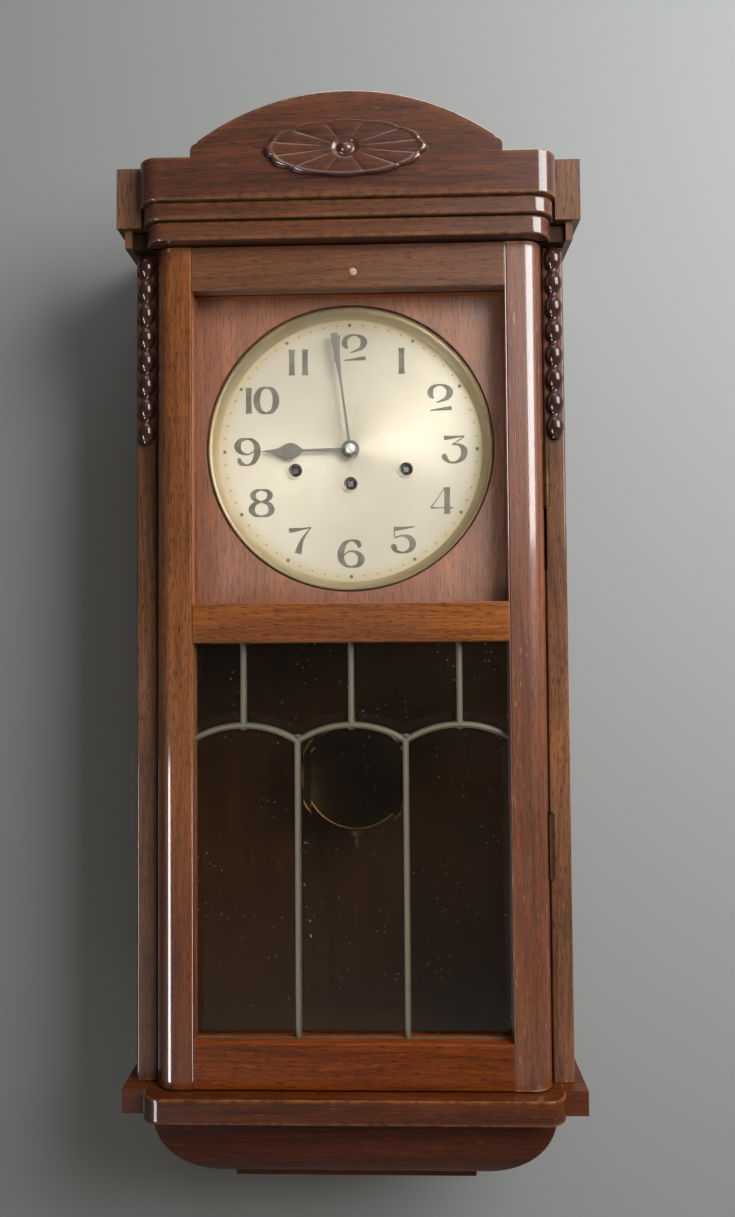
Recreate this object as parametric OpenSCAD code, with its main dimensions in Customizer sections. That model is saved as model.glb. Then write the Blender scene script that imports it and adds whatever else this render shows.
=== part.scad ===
// Wall clock with a glazed door, three spring barrels, a pendulum and chime rods.
// +Z is up and the front faces -Y. The back lies on the plane y = 0, against the wall.
// The origin is the centre of the hole in the hanger plate.

/* [Case] */
// Width over the two case sides
case_w = 331; // [310:1:360]
// Distance from the wall to the front edges of the sides
case_d = 134; // [128:0.5:145]
// Thickness of the side boards
side_t = 16; // [12:1:17]
// Thickness of the back board
back_t = 8; // [6:1:9]
// Thickness of the top and bottom boards
shelf_t = 12; // [9:1:14]
// Height of the hanger hole above the top of the door
hanger_rise = 38; // [34:1:44]
// Height of the back board above the hanger hole
back_rise = 20; // [16:1:24]

/* [Door] */
// Thickness of the door frame
door_t = 20; // [18:0.5:21]
// Gap between the door and the case sides
door_gap = 1.5; // [1:0.1:2]
// Gap above and below the door
door_gap_z = 1; // [0.6:0.1:2]
// Distance from the door's back face to the front edges of the sides
door_inset = 4; // [3:0.5:5]
// Width of the two stiles
stile_w = 29.5; // [26:0.5:33]
// Radius on the outer front edges of the stiles
stile_r = 15; // [10:0.5:16]
// Height of the top rail
top_rail_h = 34; // [28:1:40]
// Height of the middle rail
middle_rail_h = 30; // [24:1:36]
// Height of the bottom rail
bottom_rail_h = 34; // [28:1:40]
// Height of the upper glass opening
upper_h = 238; // [232:1:248]
// Height of the lower glass opening
lower_h = 296; // [280:1:310]
// Depth of the rebate that holds the glass
rebate_w = 5; // [4:0.5:7]
// Thickness of the frame in front of the glass
lip_t = 10; // [8:0.5:11]
// Thickness of the upper glass
glass_t = 3; // [2:0.5:4]
// Thickness of the leaded panes
pane_t = 2.5; // [2:0.25:3]
// Width of the lead strips as seen from the front
came_w = 5; // [4:0.5:7]
// Thickness of each lead flange
came_t = 1; // [0.8:0.1:1.4]
// Thickness of the lead web between two panes
came_web = 1.2; // [1:0.1:1.6]
// Height of the upper row of panes up to the arches' crowns
pane_row_h = 62.5; // [55:0.5:70]
// Rise of each leaded arch
arch_rise = 12; // [9:0.5:15]

/* [Hinges] */
// Radius of the hinge knuckles
knuckle_r = 2.5; // [2.2:0.1:2.8]
// Radius of the hinge pins
hinge_pin_r = 1.2; // [1:0.05:1.4]
// Length of each hinge
hinge_l = 48; // [40:1:60]
// Distance from each end of the door to its hinge
hinge_in = 152; // [150:1:180]

/* [Cornice] */
// Distance of the crest board's ends inside the case sides' outer faces
crest_in = 8.5; // [5:0.5:12]
// Thickness of the crest board
crest_t = 16; // [14:0.5:18]
// Overhang of the crest board's front over the front edges of the sides
crest_over = 33; // [30:0.5:36]
// Height of the crest board's shoulders above its lower edge
crest_shoulder_h = 32.5; // [28:0.5:38]
// Height of the arch above the shoulders
crest_arch_h = 47.3; // [42:0.5:52]
// Width of the raised arch at the shoulders
crest_arch_w = 232; // [224:1:240]
// Radius of the crest's arch
crest_arch_r = 188; // [180:1:200]
// Radius of the rounded ends of the crest and mouldings
moulding_r = 16; // [10:0.5:16]
// Height of the upper cornice moulding
upper_moulding_h = 13.5; // [11:0.5:16]
// Height of the lower cornice moulding
lower_moulding_h = 14; // [11:0.5:16]
// Step back from the crest board to the upper moulding and on to the lower one
moulding_step = 3.5; // [2:0.25:4.5]
// Overhang of the cornice's returns over each side
cornice_over = 10.5; // [8:0.5:14]
// Width over the carved oval
patera_w = 122; // [110:1:130]
// Height of the carved oval
patera_h = 43; // [38:0.5:46]
// Thickness of the carved oval
patera_t = 5; // [4:0.5:7]

/* [Base] */
// Height of the plinth moulding
plinth_h = 18; // [15:0.5:22]
// Overhang of the plinth moulding over the front edges of the sides
plinth_front = 28; // [25:0.5:32]
// Distance of the plinth moulding's ends inside the sides' outer faces
plinth_in = 9.5; // [6:0.5:12]
// Overhang of the plinth's returns over each side
plinth_over = 7.5; // [5:0.5:11]
// Height of the curved base under the plinth
cove_h = 56; // [48:1:62]
// Distance of the curved base's top ends inside the sides' outer faces
cove_in = 15; // [12:0.5:18]
// Overhang of the curved base over the front edges of the sides
cove_over = 12; // [8:0.5:16]
// Width that the curve takes on each side
cove_side = 70; // [55:1:78]
// Depth that the curve takes at the front
cove_front = 32; // [25:1:40]
// Thickness of the pad under the base
pad_h = 7.5; // [6:0.5:9]
// Distance of the pad's ends inside the curved base's top ends
pad_in = 57.5; // [56:0.5:70]

/* [Beads] */
// Number of beads on each half column
bead_count = 8; // [6:1:9]
// Height of one bead
bead_pitch = 18.6; // [16:0.1:20]
// Radius of the beads
bead_r = 6.8; // [5.5:0.1:7]

/* [Dial] */
// Radius of the visible dial
dial_r = 104; // [100:0.5:106]
// Thickness of the dial plate
dial_t = 1.5; // [1:0.25:2]
// Width of the brass ring round the dial
ring_w = 6; // [5:0.5:7]
// Depth of the brass ring
ring_d = 9.5; // [8:0.25:10]
// Distance from the door's back face to the dial's face
dial_inset = 12.5; // [11.5:0.25:13]
// Height of the dial's centre below the top of the upper opening
dial_drop = 117; // [115:0.5:120]
// Thickness of the dial board
mask_t = 6; // [5:0.5:6.5]
// Gap between the brass ring and the dial board
mask_gap = 2; // [1.5:0.25:2.5]
// Length of the minute hand from its axis
minute_l = 92; // [80:1:95]
// Length of the hour hand from its axis
hour_l = 70.5; // [60:0.5:80]
// Width of the minute hand near its tip
minute_w = 5.6; // [4:0.2:7]
// Width of the hour hand's leaf
hour_w = 13; // [10:0.5:15]
// Minutes past the hour that the hands show
shown_minute = 58.75; // [0:0.25:60]
// Hour that the hands show
shown_hour = 8; // [0:1:11]
// Outer radius of the collets round the winding holes
collet_r = 6.6; // [6:0.1:7.5]

/* [Movement] */
// Width of the movement's plates
plate_w = 146; // [140:1:156]
// Height of the plates above the hand axis
plate_up = 60; // [58:1:66]
// Height of the plates below the hand axis
plate_down = 62; // [56:1:68]
// Thickness of the plates
plate_t = 2; // [1.5:0.25:2.5]
// Distance from the front plate's face to the dial's face
dial_space = 9.5; // [9:0.25:10]
// Distance between the plates
plate_gap = 38; // [37.5:0.25:39]
// Sideways distance of the two outer winding arbors
wind_x = 43.6; // [43:0.1:45]
// Drop of the two outer winding arbors below the hand axis
wind_drop = 15.5; // [14:0.25:17]
// Radius of the spring barrels
barrel_r = 19.5; // [17:0.25:20]
// Radius of the winding arbors
arbor_r = 3; // [2.6:0.1:3.4]
// Radius of the wheels' pivots
pivot_r = 0.8; // [0.6:0.05:1]
// Radius of the wheel arbors between the plates
shaft_r = 1.3; // [1.1:0.1:1.5]
// Running clearance of a shaft in its hole
run = 0.05; // [0.03:0.01:0.08]
// Module of the going barrel's teeth
going_m = 0.589; // [0.58:0.001:0.6]

/* [Pendulum] */
// Distance from the pivot to the bob's centre
pendulum_l = 316; // [300:1:322]
// Radius of the bob
bob_r = 45; // [38:0.5:47]
// Thickness of the bob
bob_t = 15; // [12:0.5:16]
// Radius of the pendulum rod
rod_r = 2.2; // [1.8:0.1:2.6]
// Distance from the back plate to the pendulum behind it
pendulum_space = 15; // [14:0.25:16]

/* [Chime] */
// Distance between two chime rods
rod_pitch = 7; // [6.6:0.1:7.2]
// Radius of a chime rod
chime_rod_r = 1.6; // [1.2:0.1:1.8]
// Length of the longest chime rod
chime_rod_l = 215; // [190:1:225]
// Difference in length from one rod to the next
chime_rod_step = 12; // [8:1:16]

/* [Hidden] */
$fn = 48;

// Heights, counted from the hanger hole
door_top = -hanger_rise;
upper_top = door_top - top_rail_h;
upper_bot = upper_top - upper_h;
lower_top = upper_bot - middle_rail_h;
lower_bot = lower_top - lower_h;
door_bot = lower_bot - bottom_rail_h;
case_top = door_top + door_gap_z;
case_bot = door_bot - door_gap_z;
moulding_top = case_top + lower_moulding_h + upper_moulding_h;
shoulder_z = moulding_top + crest_shoulder_h;
dial_z = upper_top - dial_drop;

// Widths and depths
inner_w = case_w - 2 * side_t;
door_w = inner_w - 2 * door_gap;
opening_w = door_w - 2 * stile_w;
door_back = case_d - door_inset;
door_front = door_back + door_t;
glass_front = door_front - lip_t;
crest_w = case_w - 2 * crest_in;
crest_y = case_d + crest_over;
cornice_w = case_w + 2 * cornice_over;
plinth_w = case_w - 2 * plinth_in;
plinth_y = case_d + plinth_front;
plinth_return_w = case_w + 2 * plinth_over;
cove_w = case_w - 2 * cove_in;
cove_y = case_d + cove_over;
pad_w = cove_w - 2 * pad_in;

lower_moulding_y = crest_y - 2 * moulding_step;
upper_moulding_y = crest_y - moulding_step;
crest_ear_r = 6;
ear_z = crest_shoulder_h + crest_arch_h - crest_arch_r
    + sqrt(pow(crest_arch_r - crest_ear_r, 2) - pow(crest_arch_w / 2 - crest_ear_r, 2));
return_y = crest_y - crest_t;
return_step = 5.5;
patera_z = shoulder_z + 3;
patera_petals = 12;
patera_steps = 144;
lobe_depth = 0.06;
patera_boss_r = 5;
cove_top = case_bot - plinth_h;
cove_steps = 20;
pad_inset = 1.5;
bead_waist = 3.4;
bead_steps = 8;

// The hanger plate and the hole for the wall hook
hook_pocket_r = 9;
hanger_w = 44;
hanger_h = 34;
hanger_t = 2;
hanger_hole_r = 4;
hanger_screw_x = 15;
hanger_screw_z = 11;
screw_r = 1.6;
screw_l = 6;
screw_sink = 0.8;

// The dial board, dial and hands
mask_front = door_back - 1;
mask_bot = upper_bot - middle_rail_h / 2;
ring_out_r = dial_r + ring_w;
dial_y = door_back - dial_inset;
cleat_w = 10;
hand_t = 0.9;
hour_hand_y = dial_y + 4;
minute_hand_y = dial_y + 7;
minute_angle = 90 - 6 * shown_minute;
hour_angle = 90 - 30 * (shown_hour + shown_minute / 60);
hour_pipe_r = 3.8;
cannon_r = 2.6;
nut_r = 3.2;
collet_t = 1;
collet_wall = 1.2;
dial_foot_r = 2.5;
dial_foot_x = 58;
dial_foot_z = 46;

// The glass and the leaded light
plug_r = 3;
plug_x = 4;
plug_z = upper_top + 12.5;
glass_gap = 0.5;
glass_w = opening_w + 2 * (rebate_w - glass_gap);
lead_top = lower_top + rebate_w - glass_gap;
lead_bot = lower_bot - rebate_w + glass_gap;
arch_crown_z = lower_top - pane_row_h;
arch_spring_z = arch_crown_z - arch_rise;
pane_x = glass_w / 6;
arch_r = (pane_x * pane_x + arch_rise * arch_rise) / (2 * arch_rise);
function edge_came(w) = w > came_web ? rebate_w + 1 : came_web;

// The hinges, whose pins stand in the gap beside the door
hinge_x = inner_w / 2;
hinge_y = case_d + 5;
hinge_leaf_w = 12;
leaf_t = 1;
knuckle_gap = 0.3;
knuckle_l = hinge_l / 3;
hinge_z = [door_bot + hinge_in, door_top - hinge_in - hinge_l];

// Levels in the movement, counted from the back plate's front face
front_plate_y = dial_y - dial_space;
between_back = front_plate_y - plate_t - plate_gap;
back_plate_y = between_back - plate_t;
pendulum_y = back_plate_y - pendulum_space;
seat_top = dial_z - plate_down;
seat_t = 12;
seat_margin = 6;
seat_front = mask_front - mask_t - cleat_w;
going_level = 3;
great_t = 3;
side_level = plate_gap - 11;
second_level = plate_gap - 7;
centre_level = plate_gap - 4.5;
third_level = 19;
escape_level = 10;
cannon_level = plate_gap + plate_t + 1.5;
hour_level = cannon_level + 2.8;
cannon_t = 2;
wheel_t = 2;
minute_end = minute_hand_y + hand_t + 1.4 - between_back;
spring_r = 9;
pillar_r = 4;
ratchet_n = 24;
ratchet_r = 8;
ratchet_t = 1.6;
square_l = 9;
stud_l = 7;

// Tooth counts and modules
tooth_out = 0.8;
tooth_in = 1.2;
pinion_n = 10;
great_n = 80;
side_great_n = 78;
side_m = 0.55;
train_n = 80;
small_n = 8;
third_m = 0.532;
escape_m = 0.498;
escape_n = 32;
escape_r = 12;
second_n = 60;
second_m = 0.5;
cannon_n = 16;
minute_n = 48;
minute_pinion_n = 12;
hour_n = 48;
motion_m = 0.55;
hour_m = motion_m * (cannon_n + minute_n) / (minute_pinion_n + hour_n);

// Places of the arbors, from the hand axis
function polar(r, a) = [r * cos(a), r * sin(a)];
going_at = [0, -going_m * (great_n + pinion_n) / 2];
wind_holes = [going_at, [-wind_x, -wind_drop], [wind_x, -wind_drop]];
third_dir = 50;
third_at = polar(third_m * (train_n + small_n) / 2, third_dir);
escape_d = escape_m * (train_n + small_n) / 2;
escape_at = [0, third_at[1] + sqrt(escape_d * escape_d - third_at[0] * third_at[0])];
escape_dir = atan2(escape_at[1] - third_at[1], -third_at[0]);
third_turn = mesh(0, train_n, small_n, third_dir);
escape_turn = mesh(third_turn, train_n, small_n, escape_dir);
anchor_at = [0, escape_at[1] + escape_r + 4.2];
pivot_z = dial_z + anchor_at[1];
minute_dir = 135;
minute_at = polar(motion_m * (cannon_n + minute_n) / 2, minute_dir);
minute_turn = mesh(0, cannon_n, minute_n, minute_dir);
hour_turn = mesh(minute_turn, minute_pinion_n, hour_n, minute_dir + 180);
second_lean = 5;
second_d = side_m * (side_great_n + pinion_n) / 2;
strike_at = wind_holes[1] + polar(second_d, 90 + second_lean);
chime_at = wind_holes[2] + polar(second_d, 90 - second_lean);

// The pendulum and its crutch
bob_z = pivot_z - pendulum_l;
spring_l = 12;
thread_l = 14;
rating_nut_h = 4;
crutch_y = pendulum_y + 5;
crutch_t = 1.5;
crutch_l = 40;
cock_rise = 3.6;
cock_w = 16;
chops_w = 6;
chops_t = 6;
fork_w = 12;
fork_gap = 0.3;

// The chime drum, hammers and rods
rod_count = 4;
gong_x = 66;
gong_z = -100;
gong_block_w = 16;
gong_block_h = 26;
gong_tip_l = 8;
cock_y = back_t + 0.3;
cock_t = 1.5;
drum_y = cock_y + cock_t + 1.2;
drum_l = 31;
drum_r = 8.5;
drum_pin_h = 2;
drum_pins = 8;
function rod_y(i) = drum_y + 3.2 + rod_pitch * i;
hammer_at = chime_at + [-21.7, -23.6];
tail_tip = [12.5, 15.5];
head_at = [32, -49];
head_l = 13;
head_r = 3;
hammer_arbor_r = 1.5;
hammer_boss_l = 6.2;
post_at = [[14, -32], [56, 24]];

// Draws upright in the XZ plane and extrudes towards the front
module facing(x, y, z) translate([x, -y, z]) rotate([90, 0, 0]) children();

// A box from x0 to x1, from y0 to y1 in front of the wall and from z0 to z1
module slab(x0, x1, y0, y1, z0, z1)
    translate([x0, -y1, z0]) cube([x1 - x0, y1 - y0, z1 - z0]);

module pair_x() { children(); mirror([1, 0, 0]) children(); }

// The case: boards, cornice and base

module back_board()
    color("saddlebrown") difference() {
        slab(-inner_w / 2, inner_w / 2, 0, back_t, case_bot, back_rise);
        facing(0, -1, 0) cylinder(r = hook_pocket_r, h = back_t + 2);
        slab(-hanger_w / 2, hanger_w / 2, -1, hanger_t, -hanger_h / 2, hanger_h / 2);
        hanger_screws() cylinder(r = screw_r, h = screw_l);
    }

module hanger_screws()
    for (s = [-1, 1], k = [-1, 1])
        facing(s * hanger_screw_x, 0, k * hanger_screw_z) children();

module side_board(side)
    slab(side > 0 ? inner_w / 2 : -case_w / 2, side > 0 ? case_w / 2 : -inner_w / 2,
        0, case_d, case_bot, case_top);

module left_side() color("saddlebrown") side_board(-1);

module right_side()
    color("saddlebrown") difference() {
        side_board(1);
        for (z = hinge_z) slab(inner_w / 2 - 1, inner_w / 2 + leaf_t,
            case_d - hinge_leaf_w, case_d + 1, z, z + hinge_l);
    }

module top_board()
    color("saddlebrown")
        slab(-case_w / 2, case_w / 2, back_t, lower_moulding_y - moulding_r,
            case_top, case_top + shelf_t);

module bottom_board()
    color("saddlebrown")
        slab(-inner_w / 2, inner_w / 2, back_t, mask_front, case_bot, case_bot + shelf_t);

// A board's plan with rounded front ends, from y_back to y_front
module break_front(width, y_back, y_front, r) {
    hw = width / 2;
    if (y_front - r > y_back)
        translate([-hw, -(y_front - r)]) square([width, y_front - r - y_back]);
    translate([-hw + r, -y_front]) square([width - 2 * r, r]);
    intersection() {
        union() {
            translate([-hw + r, -(y_front - r)]) circle(r = r, $fn = 96);
            translate([hw - r, -(y_front - r)]) circle(r = r, $fn = 96);
        }
        translate([-hw, -y_front]) square([width, r]);
    }
}

// The crest's outline in the XZ plane, from its lower edge
module crest_outline() {
    arch_top = crest_shoulder_h + crest_arch_h;
    translate([-crest_w / 2, 0]) square([crest_w, crest_shoulder_h]);
    intersection() {
        translate([-crest_arch_w / 2, 0])
            square([crest_arch_w, arch_top + 1]);
        translate([0, arch_top - crest_arch_r])
            circle(r = crest_arch_r, $fn = 240);
        union() {
            translate([-crest_arch_w / 2 + crest_ear_r, 0])
                square([crest_arch_w - 2 * crest_ear_r, arch_top + 1]);
            for (s = [-1, 1]) translate([s * (crest_arch_w / 2 - crest_ear_r), ear_z])
                circle(r = crest_ear_r);
            translate([-crest_arch_w / 2, 0]) square([crest_arch_w, ear_z]);
        }
    }
}

module crest_board()
    color("sienna") intersection() {
        facing(0, crest_y - crest_t, moulding_top)
            linear_extrude(crest_t) crest_outline();
        translate([0, 0, moulding_top - 1])
            linear_extrude(crest_shoulder_h + crest_arch_h + 2)
                break_front(crest_w, crest_y - crest_t, crest_y, moulding_r);
    }

// Reach of the carved oval's lobed edge at angle a, as a share of its half axis
function lobe(a) = 1 - lobe_depth * (1 - pow(abs(cos(patera_petals * a / 2)), 0.7));

module patera()
    color("sienna") facing(0, crest_y, patera_z) {
        linear_extrude(patera_t * 0.6) polygon([for (i = [0 : patera_steps - 1])
            let (a = 360 * i / patera_steps)
            [patera_w / 2 * lobe(a) * cos(a), patera_h / 2 * lobe(a) * sin(a)]]);
        cylinder(r = patera_boss_r, h = patera_t * 0.8);
        translate([0, 0, patera_t * 0.8]) cylinder(r1 = patera_boss_r, r2 = 1, h = patera_t * 0.4);
    }

module cornice_mouldings()
    color("sienna") {
        translate([0, 0, case_top + lower_moulding_h])
            linear_extrude(upper_moulding_h)
                break_front(crest_w - moulding_step, upper_moulding_y - moulding_r,
                    upper_moulding_y, moulding_r);
        translate([0, 0, case_top]) linear_extrude(lower_moulding_h)
            break_front(crest_w - 2 * moulding_step, lower_moulding_y - moulding_r,
                lower_moulding_y, moulding_r);
    }

module cornice_returns()
    color("saddlebrown") pair_x() {
        slab(case_w / 2, cornice_w / 2 - return_step, 0, return_y - moulding_step,
            case_top, case_top + lower_moulding_h);
        slab(case_w / 2, cornice_w / 2, 0, return_y, case_top + lower_moulding_h, shoulder_z);
        slab(inner_w / 2, case_w / 2, 0, upper_moulding_y - moulding_r,
            case_top + lower_moulding_h, shoulder_z);
        slab(crest_w / 2, case_w / 2, 0, return_y, case_top + lower_moulding_h, shoulder_z);
    }

module plinth_moulding()
    color("sienna") translate([0, 0, case_bot - plinth_h]) linear_extrude(plinth_h)
        break_front(plinth_w, back_t, plinth_y, moulding_r);

module plinth_returns()
    color("saddlebrown") pair_x()
        slab(plinth_w / 2, plinth_return_w / 2, 0, plinth_y - moulding_r,
            case_bot - plinth_h, case_bot);

// Quarter ellipse from the top outer corner down to the underside, as points
function cove_points(reach, h) = [for (i = [0 : cove_steps])
    let (a = 90 * i / cove_steps) [-reach * (1 - cos(a)), -h * sin(a)]];

module base_cove()
    color("saddlebrown") intersection() {
        facing(0, 0, cove_top) linear_extrude(cove_y) polygon(concat(
            [for (p = cove_points(cove_side, cove_h)) [cove_w / 2 + p[0], p[1]]],
            [for (i = [cove_steps : -1 : 0]) let (p = cove_points(cove_side, cove_h)[i])
                [-cove_w / 2 - p[0], p[1]]]));
        translate([-cove_w / 2, 0, cove_top]) rotate([90, 0, 90]) linear_extrude(cove_w)
            polygon(concat([[0, 0]],
                [for (p = cove_points(cove_front, cove_h)) [-(cove_y + p[0]), p[1]]],
                [[0, -cove_h]]));
    }

module base_pad()
    color("saddlebrown")
        slab(-pad_w / 2, pad_w / 2, pad_inset, cove_y - cove_front - pad_inset,
            cove_top - cove_h - pad_h, cove_top - cove_h);

// Radius of a bead column at height t along one bead, from 0 to 1
function bead_profile(t) = bead_r - bead_waist * pow(abs(2 * t - 1), 2.6);

module bead_column()
    intersection() {
        rotate_extrude() polygon(concat([[0, 0]],
            [for (b = [0 : bead_count - 1], i = [0 : bead_steps])
                let (t = i / bead_steps) [bead_profile(t), (b + t) * bead_pitch]],
            [[0, bead_count * bead_pitch]]));
        translate([-bead_r - 1, -bead_r - 1, -1])
            cube([2 * bead_r + 2, bead_r + 1, bead_count * bead_pitch + 2]);
    }

module bead_columns()
    color("sienna") pair_x()
        translate([(inner_w + side_t) / 2, -case_d, case_top - bead_count * bead_pitch])
            bead_column();

// The plate lies flush in the back board and each screw's head sits in a countersink
module hanger_plate()
    color("darkgoldenrod") {
        difference() {
            slab(-hanger_w / 2, hanger_w / 2, 0, hanger_t, -hanger_h / 2, hanger_h / 2);
            facing(0, -1, 0) cylinder(r = hanger_hole_r, h = back_t);
            hanger_screws() translate([0, 0, -1]) cylinder(r = 2 * screw_r, h = 1 + screw_sink);
        }
        hanger_screws() translate([0, 0, screw_sink / 2])
            cylinder(r1 = 1.8 * screw_r, r2 = screw_r, h = hanger_t);
        hanger_screws() translate([0, 0, screw_sink]) cylinder(r = screw_r, h = screw_l - screw_sink);
    }

module dial_board()
    color("peru") difference() {
        slab(-inner_w / 2, inner_w / 2, mask_front - mask_t, mask_front,
            mask_bot, case_top);
        facing(0, 0, dial_z) cylinder(r = ring_out_r + mask_gap, h = mask_front + 1, $fn = 120);
    }

// Cleats on the sides: a pair behind the dial board and a pair under the seat board
module inner_cleats()
    color("burlywood") pair_x() {
        slab(inner_w / 2 - cleat_w, inner_w / 2, mask_front - mask_t - cleat_w,
            mask_front - mask_t, mask_bot, case_top);
        slab(inner_w / 2 - cleat_w, inner_w / 2, back_plate_y - seat_margin,
            seat_front - 1, seat_top - seat_t - cleat_w, seat_top - seat_t);
    }

module seat_board()
    color("burlywood") slab(-inner_w / 2, inner_w / 2, back_plate_y - seat_margin,
        seat_front, seat_top - seat_t, seat_top);

// The door

// Plan of a stile: rounded outer front edge and a rebate behind the inner edge
module stile_plan() {
    x0 = opening_w / 2;
    x1 = door_w / 2;
    translate([x0, -door_front]) square([x1 - x0 - stile_r, lip_t]);
    translate([x0 + rebate_w, -glass_front])
        square([x1 - x0 - rebate_w - stile_r, glass_front - door_back]);
    translate([x1 - stile_r, -(door_front - stile_r)]) square([stile_r, door_t - stile_r]);
    intersection() {
        translate([x1 - stile_r, -(door_front - stile_r)]) circle(r = stile_r, $fn = 96);
        translate([x1 - stile_r, -door_front]) square([stile_r, stile_r]);
    }
}

module door_left_stile()
    color("sienna") mirror([1, 0, 0]) translate([0, 0, door_bot])
        linear_extrude(door_top - door_bot) stile_plan();

module door_right_stile()
    color("sienna") difference() {
        translate([0, 0, door_bot]) linear_extrude(door_top - door_bot) stile_plan();
        for (z = hinge_z) {
            slab(door_w / 2 - leaf_t, inner_w / 2, door_back - 1, hinge_y - knuckle_r, z,
                z + hinge_l);
            slab(hinge_x - knuckle_r - knuckle_gap, inner_w / 2,
                hinge_y - knuckle_r - knuckle_gap, hinge_y + knuckle_r + knuckle_gap,
                z - knuckle_gap, z + hinge_l + knuckle_gap);
        }
    }

// A rail between the stiles, with a rebate along each edge that meets a glass
module rail(z0, z1, cut_low, cut_high)
    difference() {
        slab(-opening_w / 2, opening_w / 2, door_back, door_front, z0, z1);
        if (cut_low) slab(-opening_w, opening_w, 0, glass_front, z0 - 1, z0 + rebate_w);
        if (cut_high) slab(-opening_w, opening_w, 0, glass_front, z1 - rebate_w, z1 + 1);
    }

module door_top_rail()
    color("sienna") difference() {
        rail(upper_top, door_top, true, false);
        facing(plug_x, 0, plug_z) cylinder(r = plug_r, h = door_front + 1);
    }
module door_middle_rail() color("sienna") rail(lower_top, upper_bot, true, true);
module door_bottom_rail() color("sienna") rail(door_bot, lower_bot, false, true);

module rail_plug()
    color("burlywood") facing(plug_x, door_back, plug_z) {
        cylinder(r = plug_r, h = door_t);
        translate([0, 0, door_t]) cylinder(r1 = plug_r, r2 = plug_r * 0.6, h = 1);
    }

module upper_glass()
    color("lightcyan", 0.3)
        slab(-glass_w / 2, glass_w / 2, glass_front - glass_t, glass_front,
            upper_bot - rebate_w + glass_gap, upper_top + rebate_w - glass_gap);

// The lines of the leaded light, each w wide, in the XZ plane
module came_lines(w) {
    for (x = [-pane_x, 0, pane_x]) translate([x * 2 - w / 2, arch_crown_z - w / 2])
        square([w, lead_top - arch_crown_z + w / 2]);
    for (x = [-pane_x, pane_x]) translate([x - w / 2, lead_bot])
        square([w, arch_spring_z - lead_bot]);
    for (x = [-2 * pane_x, 0, 2 * pane_x]) translate([x, arch_crown_z - arch_r])
        intersection() {
            difference() {
                circle(r = arch_r + w / 2, $fn = 160);
                circle(r = arch_r - w / 2, $fn = 160);
            }
            translate([-pane_x, arch_r - arch_rise - w]) square([2 * pane_x, arch_rise + 2 * w]);
        }
}

module lead_sheet() translate([-glass_w / 2, lead_bot]) square([glass_w, lead_top - lead_bot]);

module leaded_panes()
    color("lightcyan", 0.3) facing(0, glass_front - came_t - pane_t, 0)
        linear_extrude(pane_t) difference() {
            intersection() {
                lead_sheet();
                translate([-glass_w / 2 + came_web, lead_bot + came_web])
                    square([glass_w - 2 * came_web, lead_top - lead_bot - 2 * came_web]);
            }
            came_lines(came_web);
        }

module lead_net(w)
    intersection() {
        lead_sheet();
        union() {
            came_lines(w);
            difference() {
                lead_sheet();
                translate([-glass_w / 2 + edge_came(w), lead_bot + edge_came(w)])
                    square([glass_w - 2 * edge_came(w), lead_top - lead_bot - 2 * edge_came(w)]);
            }
        }
    }

module lead_cames()
    color("dimgray") facing(0, glass_front - 2 * came_t - pane_t, 0) {
        linear_extrude(came_t) lead_net(came_w);
        translate([0, 0, came_t]) linear_extrude(pane_t) lead_net(came_web);
        translate([0, 0, came_t + pane_t]) linear_extrude(came_t) lead_net(came_w);
    }

// Four slips behind a glass, from its back to the door's back
module slips(z0, z1, y1) {
    pair_x() slab(opening_w / 2, opening_w / 2 + rebate_w, door_back, y1,
        z0 - rebate_w, z1 + rebate_w);
    slab(-opening_w / 2, opening_w / 2, door_back, y1, z0 - rebate_w, z0);
    slab(-opening_w / 2, opening_w / 2, door_back, y1, z1, z1 + rebate_w);
}

module glazing_beads()
    color("sienna") {
        slips(upper_bot, upper_top, glass_front - glass_t);
        slips(lower_bot, lower_top, glass_front - 2 * came_t - pane_t);
    }

// One knuckle from z0 to z1 with a bore
module knuckle(z0, z1, bore)
    translate([hinge_x, -hinge_y, z0]) difference() {
        cylinder(r = knuckle_r, h = z1 - z0);
        translate([0, 0, -1]) cylinder(r = bore, h = z1 - z0 + 2);
    }

module hinge_case_leaves()
    color("darkgoldenrod") for (z = hinge_z) {
        difference() {
            union() {
                slab(inner_w / 2, inner_w / 2 + leaf_t, case_d - hinge_leaf_w,
                    hinge_y - knuckle_r - knuckle_gap, z, z + hinge_l);
                for (k = [0, 2]) slab(inner_w / 2, inner_w / 2 + leaf_t,
                    case_d - hinge_leaf_w, hinge_y, z + k * knuckle_l,
                    z + (k + 1) * knuckle_l - (k == 0 ? knuckle_gap : 0));
            }
            translate([hinge_x, -hinge_y, z - 1]) cylinder(r = knuckle_r - 0.2, h = hinge_l + 2);
        }
        knuckle(z, z + knuckle_l - knuckle_gap, hinge_pin_r);
        knuckle(z + 2 * knuckle_l, z + hinge_l, hinge_pin_r);
        translate([hinge_x, -hinge_y, z - 1]) cylinder(r = hinge_pin_r, h = hinge_l + 2);
        for (e = [z - 2, z + hinge_l]) translate([hinge_x, -hinge_y, e])
            cylinder(r = hinge_pin_r + 0.1, h = 2);
    }

module hinge_door_leaves()
    color("darkgoldenrod") for (z = hinge_z) {
        difference() {
            union() {
                slab(door_w / 2 - leaf_t, door_w / 2, door_back,
                    hinge_y - knuckle_r - knuckle_gap - 0.2, z, z + hinge_l);
                slab(door_w / 2 - leaf_t, door_w / 2 + 0.4, hinge_y - knuckle_r - 1, hinge_y,
                    z + knuckle_l, z + 2 * knuckle_l - knuckle_gap);
            }
            translate([hinge_x, -hinge_y, z - 1]) cylinder(r = knuckle_r - 0.2, h = hinge_l + 2);
        }
        knuckle(z + knuckle_l, z + 2 * knuckle_l - knuckle_gap, hinge_pin_r + run);
    }

// The dial and hands

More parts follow.
